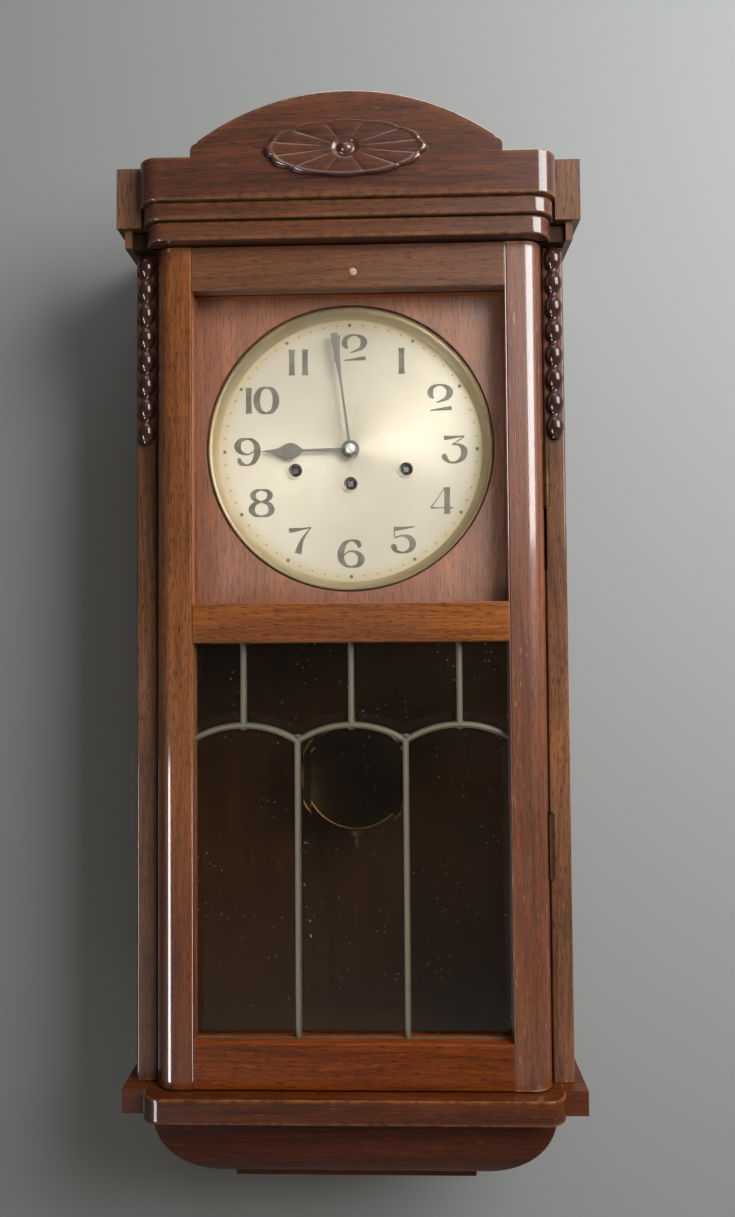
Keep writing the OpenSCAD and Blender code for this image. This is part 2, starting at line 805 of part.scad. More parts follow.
module dial_plate()
    color("lightgray") facing(0, dial_y - dial_t, dial_z) {
        difference() {
            union() {
                cylinder(r = dial_r + ring_w - 1, h = dial_t, $fn = 180);
                for (p = wind_holes) translate([p[0], p[1], dial_t])
                    cylinder(r = collet_r, h = collet_t);
            }
            translate([0, 0, -1]) cylinder(r = hour_pipe_r + 1, h = dial_t + 2);
            for (p = wind_holes) translate([p[0], p[1], -1])
                cylinder(r = collet_r - collet_wall, h = dial_t + collet_t + 2);
        }
        for (x = [-1, 1], z = [-1, 1]) translate([x * dial_foot_x, z * dial_foot_z, 0])
            mirror([0, 0, 1]) cylinder(r = dial_foot_r, h = dial_y - dial_t - front_plate_y);
    }

module dial_ring()
    color("gold") facing(0, dial_y, dial_z) rotate_extrude($fn = 180)
        polygon([[dial_r, 0], [dial_r + ring_w, 0], [dial_r + ring_w, ring_d],
            [dial_r + ring_w - 1.2, ring_d], [dial_r + ring_w - 1.6, ring_d - 0.8],
            [dial_r, 1.2]]);

// A collar with a hole, for a hand or wheel on an arbor
module collar(r, hole, h) difference() {
    cylinder(r = r, h = h);
    translate([0, 0, -1]) cylinder(r = hole, h = h + 2);
}

module hour_hand()
    color("dimgray") facing(0, hour_hand_y, dial_z) rotate([0, 0, hour_angle])
        difference() {
            union() {
                cylinder(r = hour_pipe_r + 2.4, h = hand_t);
                linear_extrude(hand_t) polygon([[0, -1.6], [hour_l * 0.54, -1],
                    [hour_l * 0.58, -hour_w / 3], [hour_l * 0.66, -hour_w / 2],
                    [hour_l * 0.72, -hour_w / 2.4], [hour_l * 0.82, -hour_w / 8],
                    [hour_l, 0], [hour_l * 0.82, hour_w / 8], [hour_l * 0.72, hour_w / 2.4],
                    [hour_l * 0.66, hour_w / 2], [hour_l * 0.58, hour_w / 3],
                    [hour_l * 0.54, 1], [0, 1.6]]);
            }
            translate([0, 0, -1]) cylinder(r = hour_pipe_r, h = hand_t + 2);
        }

module minute_hand()
    color("dimgray") facing(0, minute_hand_y, dial_z) rotate([0, 0, minute_angle])
        difference() {
            union() {
                cylinder(r = cannon_r + 2.2, h = hand_t);
                linear_extrude(hand_t) polygon([[0, -1.2], [minute_l * 0.55, -0.9],
                    [minute_l * 0.72, -minute_w * 0.36], [minute_l * 0.98, -minute_w / 2],
                    [minute_l, -minute_w * 0.35], [minute_l * 0.985, 0],
                    [minute_l, minute_w * 0.35], [minute_l * 0.98, minute_w / 2],
                    [minute_l * 0.72, minute_w * 0.36], [minute_l * 0.55, 0.9], [0, 1.2]]);
            }
            translate([0, 0, -1]) cylinder(r = shaft_r, h = hand_t + 2);
        }

module hand_nut()
    color("silver") facing(0, minute_hand_y + hand_t, dial_z) difference() {
        rotate_extrude() polygon([[0, 0], [nut_r, 0], [nut_r, 0.8], [nut_r * 0.8, 2],
            [nut_r * 0.4, 2.6], [0, 2.6]]);
        translate([0, 0, -1]) cylinder(r = shaft_r, h = 2.4);
    }

// The movement

// Tooth outline of a wheel with n teeth of module m
function teeth(n, m) = [for (i = [0 : n - 1], k = [0 : 3])
    let (a = 360 / n * (i + [-0.27, -0.1, 0.1, 0.27][k]),
         r = n * m / 2 + (k == 1 || k == 2 ? tooth_out * m : -tooth_in * m))
    [r * cos(a), r * sin(a)]];

// Turn of a wheel with nb teeth that puts it in mesh with one of na teeth turned by a,
// when it lies in direction d
function mesh(a, na, nb, d) = d + 180 - (0.5 - (d - a) * na / 360) * 360 / nb;

module toothed(n, m, h, hole)
    linear_extrude(h) difference() {
        polygon(teeth(n, m));
        circle(r = hole);
    }

// Arbor between the plates with a pivot at each end
module arbor_with_pivots(r) {
    translate([0, 0, 0.5]) cylinder(r = r, h = plate_gap - 1);
    translate([0, 0, -plate_t]) cylinder(r = pivot_r, h = plate_gap + 2 * plate_t);
}

// Wheel with four spokes
module crossed_wheel(n, m, h) {
    rim = n * m / 2 - 3.2 * m - 1;
    linear_extrude(h) difference() {
        polygon(teeth(n, m));
        difference() {
            circle(r = rim);
            circle(r = rim * 0.3);
            for (a = [0, 90]) rotate(a) square([2 * rim, rim * 0.16], center = true);
        }
    }
}

module at_movement(p) facing(p[0], between_back, dial_z + p[1]) children();

module plate_outline() translate([-plate_w / 2, -plate_down])
    square([plate_w, plate_up + plate_down]);

module plate_holes(h) {
    for (p = wind_holes) translate([p[0], p[1], -1]) cylinder(r = arbor_r + run, h = h + 2);
    for (p = [third_at, escape_at, strike_at])
        translate([p[0], p[1], -1]) cylinder(r = pivot_r + run, h = h + 2);
}

module front_plate()
    color("goldenrod") facing(0, front_plate_y - plate_t, dial_z) {
        difference() {
            linear_extrude(plate_t) plate_outline();
            plate_holes(plate_t);
            translate([0, 0, -1]) cylinder(r = shaft_r + run, h = plate_t + 2);
            for (p = [anchor_at, chime_at]) translate([p[0], p[1], -1])
                cylinder(r = pivot_r + run, h = plate_t + 2);
        }
        translate([minute_at[0], minute_at[1], plate_t]) cylinder(r = shaft_r, h = stud_l);
        for (p = wind_holes) translate([p[0], p[1] + ratchet_r + 3.6, plate_t]) click();
    }

// A click that rests over the ratchet's teeth
module click() linear_extrude(ratchet_t + 0.3) polygon([[-6, 1.5], [-5, 3.5], [3, 2.6],
    [4.2, 0.6], [1, 0.2], [0, -2], [-1.4, -0.2], [-4, 0]]);

module back_plate()
    color("goldenrod") facing(0, back_plate_y, dial_z) difference() {
        linear_extrude(plate_t) plate_outline();
        plate_holes(plate_t);
        translate([0, 0, -1]) cylinder(r = pivot_r + run, h = plate_t + 2);
        for (p = [anchor_at, chime_at]) translate([p[0], p[1], -1])
            cylinder(r = shaft_r + run, h = plate_t + 2);
    }

module movement_pillars()
    color("gold") for (x = [-1, 1], z = [-1, 1])
        at_movement([x * (plate_w / 2 - 7), z > 0 ? plate_up - 8 : -plate_down + 8])
            cylinder(r = pillar_r, h = plate_gap);

// A spring barrel with its great wheel at level g and its body from b0 to b1
module barrel(n, m, g, b0, b1) difference() {
    union() {
        translate([0, 0, g]) toothed(n, m, great_t, arbor_r);
        translate([0, 0, b0]) cylinder(r = barrel_r, h = b1 - b0);
        translate([0, 0, b1 - 2]) cylinder(r = barrel_r + 0.6, h = 2);
    }
    translate([0, 0, -1]) cylinder(r = arbor_r + run, h = plate_gap + 2);
    translate([0, 0, b0 + 1.5]) difference() {
        cylinder(r = barrel_r - 1.2, h = b1 - b0 - 3);
        translate([0, 0, -1]) cylinder(r = spring_r, h = b1 - b0);
    }
}

module going_barrel()
    color("goldenrod") at_movement(going_at)
        rotate([0, 0, mesh(0, pinion_n, great_n, -90)])
            barrel(great_n, going_m, going_level, going_level + great_t, plate_gap - 8);

module side_barrel() barrel(side_great_n, side_m, side_level, going_level + great_t, side_level);

module strike_barrel()
    color("goldenrod") at_movement(wind_holes[1]) side_barrel();
module chime_barrel()
    color("goldenrod") at_movement(wind_holes[2]) side_barrel();

// A winding arbor with its ratchet wheel and square end
module winding_arbor(p)
    color("silver") at_movement(p) {
        translate([0, 0, -plate_t]) cylinder(r = arbor_r, h = plate_gap + 2 * plate_t);
        translate([0, 0, plate_gap + plate_t]) linear_extrude(ratchet_t)
            difference() {
                polygon([for (i = [0 : ratchet_n - 1], k = [0, 1])
                    let (a = 360 / ratchet_n * (i + (k == 0 ? 0 : 0.12)),
                         r = k == 0 ? ratchet_r : ratchet_r - 1)
                    [r * cos(a), r * sin(a)]]);
                circle(r = arbor_r - 0.6);
            }
        translate([0, 0, plate_gap + plate_t]) linear_extrude(square_l)
            square(arbor_r * 1.4, center = true);
    }

module winding_arbor_going() winding_arbor(wind_holes[0]);
module winding_arbor_strike() winding_arbor(wind_holes[1]);
module winding_arbor_chime() winding_arbor(wind_holes[2]);

module centre_wheel()
    color("goldenrod") at_movement([0, 0]) {
        translate([0, 0, going_level - 1]) toothed(pinion_n, going_m, great_t + 2, shaft_r - 0.3);
        translate([0, 0, centre_level]) crossed_wheel(train_n, third_m, wheel_t);
        translate([0, 0, 0.5]) cylinder(r = shaft_r, h = minute_end - 0.5);
        translate([0, 0, -plate_t]) cylinder(r = pivot_r, h = plate_t + 1);
        translate([0, 0, cannon_level]) toothed(cannon_n, motion_m, cannon_t, shaft_r);
        translate([0, 0, cannon_level + cannon_t])
            collar(cannon_r, shaft_r, minute_hand_y - between_back - cannon_level - cannon_t);
    }

module third_wheel()
    color("goldenrod") at_movement(third_at) rotate([0, 0, third_turn]) {
        arbor_with_pivots(shaft_r);
        translate([0, 0, centre_level - 1]) toothed(small_n, third_m, wheel_t + 2, shaft_r - 0.3);
        translate([0, 0, third_level]) crossed_wheel(train_n, escape_m, wheel_t);
    }

module escape_wheel()
    color("goldenrod") at_movement(escape_at) rotate([0, 0, escape_turn]) {
        arbor_with_pivots(shaft_r);
        translate([0, 0, third_level - 1]) toothed(small_n, escape_m, wheel_t + 2, shaft_r - 0.3);
        translate([0, 0, escape_level]) linear_extrude(wheel_t - 0.5) polygon(
            [for (i = [0 : escape_n - 1], k = [0 : 2])
                let (a = 360 / escape_n * (i + [0, 0.3, 0.42][k]),
                     r = escape_r - [2.4, 0, 0.2][k])
                [r * cos(a), r * sin(a)]]);
    }

module anchor()
    color("silver") {
        at_movement(anchor_at) {
            cylinder(r = shaft_r, h = plate_gap - 0.5);
            translate([0, 0, -plate_t]) mirror([0, 0, 1])
                cylinder(r = shaft_r, h = back_plate_y - crutch_y);
            translate([0, 0, -plate_t - 0.5]) cylinder(r = shaft_r, h = plate_t + 1);
            cylinder(r = pivot_r, h = plate_gap + plate_t);
            translate([0, 0, escape_level - 0.5]) linear_extrude(wheel_t) polygon(
                [for (s = [1, -1]) each let (side = [[0, 2.6], [4, 1.8], [9.4, -2.6],
                    [10.9, -6.2], [9.8, -7.2], [8.6, -6], [7.4, -3.6], [3.2, -1.6], [0, -2.2]])
                    [for (i = [0 : 8]) let (p = side[s > 0 ? i : 8 - i]) [s * p[0], p[1]]]]);
        }
        facing(0, crutch_y, pivot_z) {
            cylinder(r = 3, h = crutch_t + 1);
            translate([-1, -crutch_l, 0]) cube([2, crutch_l, crutch_t]);
        }
        difference() {
            slab(-fork_w / 2, fork_w / 2, pendulum_y - fork_w / 2, crutch_y + crutch_t,
                pivot_z - crutch_l - 2, pivot_z - crutch_l + 1);
            slab(-rod_r - fork_gap, rod_r + fork_gap, 0, pendulum_y + rod_r + 1,
                pivot_z - crutch_l - 3, pivot_z - crutch_l + 2);
        }
    }

module minute_wheel()
    color("goldenrod") at_movement(minute_at) rotate([0, 0, minute_turn]) {
        translate([0, 0, cannon_level + 0.2])
            toothed(minute_n, motion_m, cannon_t - 0.4, shaft_r + run);
        translate([0, 0, cannon_level + cannon_t - 0.2])
            toothed(minute_pinion_n, hour_m, 3.2, shaft_r + run);
    }

module hour_wheel()
    color("goldenrod") at_movement([0, 0]) rotate([0, 0, hour_turn]) {
        translate([0, 0, hour_level]) toothed(hour_n, hour_m, cannon_t - 0.2, cannon_r + run);
        translate([0, 0, hour_level]) collar(hour_pipe_r, cannon_r + run,
            hour_hand_y + hand_t - between_back - hour_level);
    }

// Second wheel of the striking or chiming train, turned into mesh by angle a
module second_wheel(a) rotate([0, 0, a]) {
    arbor_with_pivots(shaft_r);
    translate([0, 0, side_level - 0.5]) toothed(pinion_n, side_m, great_t + 1, shaft_r - 0.3);
    translate([0, 0, second_level]) crossed_wheel(second_n, second_m, wheel_t);
}

module strike_wheel()
    color("goldenrod") at_movement(strike_at)
        second_wheel(mesh(0, side_great_n, pinion_n, 90 + second_lean));

// The chime wheel's arbor runs on behind the back plate and carries the pin drum
module chime_wheel()
    color("goldenrod") {
        at_movement(chime_at) {
            second_wheel(mesh(0, side_great_n, pinion_n, 90 - second_lean));
            translate([0, 0, -plate_t - 1]) cylinder(r = shaft_r, h = plate_t + 2);
        }
        facing(chime_at[0], drum_y, dial_z + chime_at[1]) {
            cylinder(r = shaft_r, h = back_plate_y - drum_y);
            cylinder(r = drum_r, h = drum_l);
            translate([0, 0, cock_y - drum_y]) cylinder(r = pivot_r, h = drum_y - cock_y + 1);
            for (i = [0 : rod_count - 1], k = [0 : drum_pins - 1])
                translate([0, 0, rod_y(i) - drum_y])
                    rotate([0, 90, (360 * k + 90 * i) / drum_pins])
                        translate([0, 0, drum_r - 1]) cylinder(r = 0.7, h = drum_pin_h + 1, $fn = 16);
        }
    }

// One hammer: collar, tail under the drum's pins, arm and head
module hammer(i)
    color("silver") facing(hammer_at[0], rod_y(i), dial_z + hammer_at[1]) {
        translate([0, 0, -hammer_boss_l / 2]) collar(3.2, hammer_arbor_r + run, hammer_boss_l);
        translate([0, 0, -0.8]) linear_extrude(1.6) difference() {
            union() {
                bar([0, 0], tail_tip, 1.4);
                bar([0, 0], head_at, 2);
            }
            circle(r = hammer_arbor_r + run + 0.5);
        }
        translate([head_at[0] - head_l / 2, head_at[1], 0]) rotate([0, 90, 0])
            cylinder(r = head_r, h = head_l);
    }

// A straight bar of width w from a to b
module bar(a, b, w) {
    l = norm(b - a);
    translate(a) rotate(atan2(b[1] - a[1], b[0] - a[0])) translate([0, -w / 2]) square([l, w]);
}

module hammer_1() hammer(0);
module hammer_2() hammer(1);
module hammer_3() hammer(2);
module hammer_4() hammer(3);

// The suspension cock and the cock that carries the drum and the hammers
module rear_cocks()
    color("gold") {
        slab(-cock_w / 2, cock_w / 2, pendulum_y - chops_t, back_plate_y,
            pivot_z + cock_rise, pivot_z + cock_rise + chops_t);
        slab(-chops_w / 2, chops_w / 2, pendulum_y - 0.65 * chops_t, pendulum_y + 0.35 * chops_t,
            pivot_z + run * chops_w, pivot_z + cock_rise);
        facing(0, cock_y, dial_z) linear_extrude(cock_t) difference() {
            union() {
                bar(post_at[0], post_at[1], 7);
                bar(post_at[1], chime_at, 7);
                bar(post_at[0], hammer_at, 7);
                for (p = concat(post_at, [chime_at, hammer_at])) translate(p) circle(r = 4.5);
            }
            translate(chime_at) circle(r = pivot_r + run);
        }
        for (p = post_at) facing(p[0], cock_y + cock_t, dial_z + p[1])
            cylinder(r = 2.5, h = back_plate_y - cock_y - cock_t);
        facing(hammer_at[0], cock_y + cock_t, dial_z + hammer_at[1])
            cylinder(r = hammer_arbor_r, h = back_plate_y - cock_y - cock_t);
    }

// The pendulum and the rods

// The nut under the bob
module rating_nut()
    translate([0, -pendulum_y, bob_z - bob_r - rating_nut_h])
        collar(6.5, rod_r, rating_nut_h);

module pendulum_rod()
    color("burlywood") {
        slab(-0.15, 0.15, pendulum_y - 3.5, pendulum_y + 3.5, pivot_z - spring_l, pivot_z);
        slab(-3.5, 3.5, pendulum_y - 4, pendulum_y + 4, pivot_z - spring_l - 8,
            pivot_z - spring_l);
        translate([0, -pendulum_y, bob_z - bob_r - thread_l])
            cylinder(r = rod_r, h = pendulum_l + bob_r + thread_l - spring_l - 8);
        rating_nut();
    }

module pendulum_bob()
    color("gold") difference() {
        facing(0, pendulum_y, bob_z) rotate_extrude($fn = 120)
            polygon(concat([for (i = [0 : 6]) let (x = i / 6)
                [bob_r * 0.94 * x, bob_t / 2 * (1 - 0.7 * x * x)]],
                [[bob_r - 1, bob_t * 0.19], [bob_r, bob_t * 0.12], [bob_r, -bob_t * 0.12],
                 [bob_r - 1, -bob_t * 0.19]],
                [for (i = [6 : -1 : 0]) let (x = i / 6)
                [bob_r * 0.94 * x, -bob_t / 2 * (1 - 0.7 * x * x)]]));
        translate([0, -pendulum_y, bob_z - bob_r - 1]) cylinder(r = rod_r, h = 2 * bob_r + 2);
    }

module gong_rods()
    color("dimgray") {
        slab(gong_x - gong_block_w / 2, gong_x + gong_block_w / 2, back_t,
            rod_y(rod_count - 1) + rod_pitch, gong_z, gong_z + gong_block_h);
        for (i = [0 : rod_count - 1]) translate([gong_x, -rod_y(i), 0]) {
            l = chime_rod_l - i * chime_rod_step;
            translate([0, 0, gong_z - l]) cylinder(r = chime_rod_r, h = l - gong_tip_l);
            translate([0, 0, gong_z - gong_tip_l])
                cylinder(r1 = chime_rod_r, r2 = 0.56 * chime_rod_r, h = gong_tip_l);
        }
    }

back_board();
left_side();
right_side();
top_board();
bottom_board();
crest_board();
patera();
cornice_mouldings();
cornice_returns();
plinth_moulding();
plinth_returns();
base_cove();
base_pad();
bead_columns();
hanger_plate();
dial_board();
inner_cleats();
seat_board();
door_left_stile();
door_right_stile();
door_top_rail();
door_middle_rail();
door_bottom_rail();
upper_glass();
leaded_panes();
lead_cames();
glazing_beads();
rail_plug();
hinge_case_leaves();
hinge_door_leaves();
dial_plate();
dial_ring();
hour_hand();
minute_hand();
hand_nut();
front_plate();
back_plate();
movement_pillars();
rear_cocks();
going_barrel();
strike_barrel();
chime_barrel();
winding_arbor_going();
winding_arbor_strike();
winding_arbor_chime();
centre_wheel();
third_wheel();
escape_wheel();
anchor();
minute_wheel();
hour_wheel();
strike_wheel();
chime_wheel();
hammer_1();
hammer_2();
hammer_3();
hammer_4();
pendulum_rod();
pendulum_bob();
gong_rods();
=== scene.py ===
# %% [markdown]
# # A wall clock, dressed over its CAD frame
# The clock is a tall oak box with a glazed door, a silvered dial and a pendulum behind leaded glass.
# The CAD model already has every part in its place, so this lesson only adds looks: softened edges,
# carving, glass, metal and old polish. All lengths are metres, and the front faces -Y.

# %% Load the clock
import bpy
import numpy as np
from mathutils import Matrix, Vector


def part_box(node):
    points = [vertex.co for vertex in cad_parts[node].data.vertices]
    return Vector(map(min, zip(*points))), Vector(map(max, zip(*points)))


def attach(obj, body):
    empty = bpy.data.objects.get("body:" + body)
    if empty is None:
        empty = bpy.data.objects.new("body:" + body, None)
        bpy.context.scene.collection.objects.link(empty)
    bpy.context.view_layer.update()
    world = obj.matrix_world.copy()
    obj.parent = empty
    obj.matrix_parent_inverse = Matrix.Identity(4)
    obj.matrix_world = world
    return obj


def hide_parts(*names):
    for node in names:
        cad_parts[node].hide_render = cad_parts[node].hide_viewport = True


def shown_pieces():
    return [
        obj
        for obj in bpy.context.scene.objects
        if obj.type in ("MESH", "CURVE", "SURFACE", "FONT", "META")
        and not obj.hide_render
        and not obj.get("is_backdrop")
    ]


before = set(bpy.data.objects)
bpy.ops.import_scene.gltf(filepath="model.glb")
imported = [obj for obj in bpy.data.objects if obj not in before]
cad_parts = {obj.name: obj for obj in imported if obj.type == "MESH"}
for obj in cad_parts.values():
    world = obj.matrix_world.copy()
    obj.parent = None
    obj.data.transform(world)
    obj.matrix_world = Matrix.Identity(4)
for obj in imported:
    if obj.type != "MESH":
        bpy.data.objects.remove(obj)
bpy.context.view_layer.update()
MM = 0.001

# %% [markdown]
# ## Camera
# A camera can be placed by eye or worked out. Here its place came from matching known corners of the
# clock to the picture, so its position and its three turns are plain numbers. The lens is counted on
# the long side of the frame, because the picture is upright.

# %% Place the camera
scene = bpy.context.scene
camera = bpy.data.objects.new("camera", bpy.data.cameras.new("camera"))
scene.collection.objects.link(camera)
scene.camera = camera


def camera_axes(yaw, pitch, roll):
    """Right, up and backward directions: yaw turns about Z, pitch lifts the view, roll tips the frame."""
    yaw, pitch, roll = np.radians([yaw, pitch, roll])
    ahead = np.array([np.sin(yaw) * np.cos(pitch), np.cos(yaw) * np.cos(pitch), np.sin(pitch)])
    level = np.array([np.cos(yaw), -np.sin(yaw), 0.0])
    lift = np.cross(level, ahead)
    right = np.cos(roll) * level + np.sin(roll) * lift
    up = -np.sin(roll) * level + np.cos(roll) * lift
    return right, up, -ahead


seat = np.eye(4)
seat[:3, :3] = np.array(camera_axes(-1.572, 1.831, -0.461)).T
seat[:3, 3] = np.array([31.5, -815.4, -336.0]) * MM
camera.matrix_world = Matrix(seat.tolist())
camera.data.sensor_width = 36.0
camera.data.lens = 26.34
camera.data.clip_start = 0.05
print("camera at, m:", np.round(seat[:3, 3], 3))

# %% [markdown]
# ## Small tools for materials
# Every finish here is made of nodes that read the object's own coordinates. A short helper adds a node
# with its settings and links in one line, so that each finish stays readable.

# %% Helpers for node trees
def add(tree, kind, settings=(), **inputs):
    """Adds a node. Inputs are values or the sockets of other nodes; settings are its own options."""
    made = tree.nodes.new("ShaderNode" + kind)
    for key, value in dict(settings).items():
        setattr(made, key, value)
    for key, value in inputs.items():
        socket = made.inputs[int(key[1:]) if key[1:].isdigit() else key.replace("_", " ")]
        if isinstance(value, bpy.types.NodeSocket):
            tree.links.new(value, socket)
        else:
            socket.default_value = value
    return made


def maths(tree, operation, first, second=0.0, clamp=False):
    """One step of arithmetic between two sockets or numbers."""
    return add(tree, "Math", {"operation": operation, "use_clamp": clamp}, _0=first, _1=second).outputs[0]


def times(tree, first, second, clamp=False):
    """The product of two sockets or numbers."""
    return maths(tree, "MULTIPLY", first, second, clamp)


def plus(tree, first, second, clamp=False):
    """The sum of two sockets or numbers."""
    return maths(tree, "ADD", first, second, clamp)


def noise(tree, place, scale, detail, rough=0.5):
    """Cloudy noise of 0 to 1; scale is its lumps in a metre and detail its finer layers."""
    return add(tree, "TexNoise", Vector=place, Scale=scale, Detail=detail, Roughness=rough).outputs["Fac"]


def round_spots(tree, place, scale, small, large):
    """Round spots, 1 within small of a cell's point and 0 beyond large, in shares of a cell."""
    distance = add(tree, "TexVoronoi", Vector=place, Scale=scale).outputs["Distance"]
    return span(tree, distance, small, large, 1.0, 0.0)


def stretched(tree, place, along, across):
    """A place whose pattern is long along the grain: each axis times its own number."""
    return scaled(tree, place, (along, across, across))


def scaled(tree, vector, factors):
    """A vector or colour times another, part by part."""
    return add(tree, "VectorMath", {"operation": "MULTIPLY"}, _0=vector, _1=factors).outputs[0]


def object_place(tree):
    """The place on the clock, in metres from the hanger."""
    return add(tree, "TexCoord").outputs["Object"]


def rubbed_edge(tree):
    """The piece's own edge number: 1 on an edge that hands rub."""
    return add(tree, "Attribute", {"attribute_name": "edge"}).outputs["Fac"]


def bumps(tree, height, strength, distance, **below):
    """A normal tipped by a height map."""
    return add(tree, "Bump", Height=height, Strength=strength, Distance=distance, **below).outputs[0]


def wire(tree, node, **sockets):
    """Links each socket to the input of that name."""
    for name, socket in sockets.items():
        tree.links.new(socket, node.inputs[name.replace("_", " ")])


def blend_colour(tree, share, first, second):
    """Mixes two colours by share."""
    made = add(tree, "Mix", {"data_type": "RGBA", "clamp_result": True})
    for place, value in ((0, share), (6, first), (7, second)):
        if isinstance(value, bpy.types.NodeSocket):
            tree.links.new(value, made.inputs[place])
        else:
            made.inputs[place].default_value = value
    return made.outputs[2]


def span(tree, value, low, high, out_low=0.0, out_high=1.0):
    """Rescales a value from one range to another and holds it inside the new one."""
    made = add(tree, "MapRange", {"clamp": True}, Value=value)
    for place, number in zip((1, 2, 3, 4), (low, high, out_low, out_high)):
        made.inputs[place].default_value = number
    return made.outputs[0]


def open_group(name, inputs):
    """A node group with inputs of (kind, name, default). Every group here puts out the same three."""
    group = bpy.data.node_groups.new(name, "ShaderNodeTree")
    for kind, label, default in inputs:
        socket = group.interface.new_socket(name=label, in_out="INPUT", socket_type="NodeSocket" + kind)
        if default is not None:
            socket.default_value = default
    for kind, label in (("Color", "Color"), ("Float", "Roughness"), ("Float", "Height")):
        group.interface.new_socket(name=label, in_out="OUTPUT", socket_type="NodeSocket" + kind)
    return group, group.nodes.new("NodeGroupInput").outputs


print("node helpers ready")

# %% [markdown]
# ## Wall, floor and light
# The clock hangs on a plain pale wall over a plain pale floor. The wall shows only its front, so a
# view from behind looks through it. Light is soft: one tall panel from the upper right as a window
# would give, a wide one overhead, and an even surround. A low one at the left only shows as a glint
# in varnish and metal, because its diffuse light is off. A last panel behind the wall shows the clock's
# back to a viewer there. The wall would stop its light, so light linking takes the wall and the floor
# out of what it lights and out of what shades it.

# %% Build the wall and the floor
def plain_stage(name, corners, colour):
    """A flat four-cornered sheet in a matte colour that lets light through from behind."""
    mesh = bpy.data.meshes.new(name)
    mesh.from_pydata(corners, [], [(0, 1, 2, 3)])
    sheet = bpy.data.objects.new(name, mesh)
    scene.collection.objects.link(sheet)
    material = bpy.data.materials.new(name)
    material.use_nodes = True
    tree = material.node_tree
    tree.nodes.clear()
    matte = add(tree, "BsdfPrincipled", Base_Color=(*colour, 1), Roughness=0.9).outputs[0]
    clear = add(tree, "BsdfTransparent").outputs[0]
    behind = add(tree, "NewGeometry").outputs["Backfacing"]
    add(tree, "OutputMaterial", Surface=add(tree, "MixShader", _0=behind, _1=matte, _2=clear).outputs[0])
    mesh.materials.append(material)
    sheet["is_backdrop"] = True
    return sheet


wall_y = 0.001
floor_z = -1.35
wall = plain_stage("wall", [(-6, wall_y, floor_z), (6, wall_y, floor_z), (6, wall_y, 5), (-6, wall_y, 5)],
                   (0.30, 0.31, 0.305))
floor = plain_stage("floor", [(-6, -6, floor_z), (6, -6, floor_z), (6, wall_y, floor_z),
                              (-6, wall_y, floor_z)], (0.55, 0.54, 0.52))
print("wall and floor made")

# %% Hang the lamps
def panel(name, place, target, width, height, power):
    """A rectangular lamp at place that faces target."""
    lamp = bpy.data.lights.new(name, "AREA")
    lamp.shape = "RECTANGLE"
    lamp.size, lamp.size_y = width, height
    lamp.energy = power
    holder = bpy.data.objects.new(name, lamp)
    scene.collection.objects.link(holder)
    holder.location = place
    holder.rotation_euler = (Vector(target) - Vector(place)).to_track_quat("-Z", "Y").to_euler()
    return holder


def clock_only(holder, sheets):
    """Light linking: the lamp lights the clock but skips these sheets, which cast no shadow of it either."""
    for use in ("receiver_collection", "blocker_collection"):
        group = bpy.data.collections.new(f"{holder.name} {use[:7]}")
        for sheet in sheets:
            group.objects.link(sheet)
        for entry in group.collection_objects:
            entry.light_linking.link_state = "EXCLUDE"
        setattr(holder.light_linking, use, group)


middle = (0, -0.1, -0.34)
panel("window", (0.86, -0.98, 0.27), (0.05, -0.1, -0.3), 0.8, 0.9, 26)
glint = panel("low_left", (-0.95, -1.15, -1.0), (-0.15, -0.1, -0.55), 0.30, 0.8, 15)
glint.visible_diffuse = False
clock_only(glint, [wall, floor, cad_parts["dial_plate"]])
clock_only(panel("behind", (0.4, 1.5, 2.3), middle, 1.6, 1.6, 44), [wall, floor])
panel("ceiling", (0.3, -1.3, 2.5), middle, 2.2, 1.8, 25)
world = scene.world or bpy.data.worlds.new("surround")
scene.world = world
world.use_nodes = True
world.node_tree.nodes["Background"].inputs["Color"].default_value = (1.0, 0.87, 0.72, 1)
world.node_tree.nodes["Background"].inputs["Strength"].default_value = 0.07
scene.view_settings.view_transform = "Standard"

# %% [markdown]
# ## Polished wood
# The case is dark stained timber under old varnish. Its grain is long thin streaks, its pores short
# dark dashes, and its tone drifts over a hand's width. Where the edge of a board has been rubbed for
# years, the stain is gone and the wood shows golden. One node group makes all of it; each board gives
# it a direction, two colours and an amount of wear.

# %% Make the wood group
wood, given = open_group("old polished wood", [
    ("Vector", "Along grain", None), ("Color", "Light", (0.3, 0.15, 0.07, 1)),
    ("Color", "Dark", (0.1, 0.04, 0.02, 1)),
    ("Color", "Rubbed", (0.5, 0.3, 0.14, 1)), ("Float", "Figure", 1.0), ("Float", "Wear", 0.4),
    ("Float", "Edge", 0.0), ("Float", "Gloss", 0.4)])
grain = given["Along grain"]
drift = noise(wood, grain, 9.0, 3.0)
wander = add(wood, "TexNoise", Vector=grain, Scale=5.0, Detail=1.0).outputs["Color"]
bent = add(wood, "VectorMath", {"operation": "MULTIPLY_ADD"}, _0=wander, _1=(0.0, 0.016, 0.016),
           _2=grain).outputs[0]
streaks = noise(wood, stretched(wood, bent, 16.0, 420.0), 1.0, 4.0, 0.62)
broad = noise(wood, stretched(wood, bent, 3.5, 62.0), 1.0, 2.0)
pores = span(wood, noise(wood, stretched(wood, grain, 120.0, 1500.0), 1.0, 1.0), 0.54, 0.66)
figure = times(wood, span(wood, streaks, 0.37, 0.63), 0.55)
figure = plus(wood, figure, times(wood, span(wood, broad, 0.35, 0.65), 0.45))
figure = plus(wood, 0.5, times(wood, maths(wood, "SUBTRACT", figure, 0.5), given["Figure"]))
tone = blend_colour(wood, figure, given["Dark"], given["Light"])
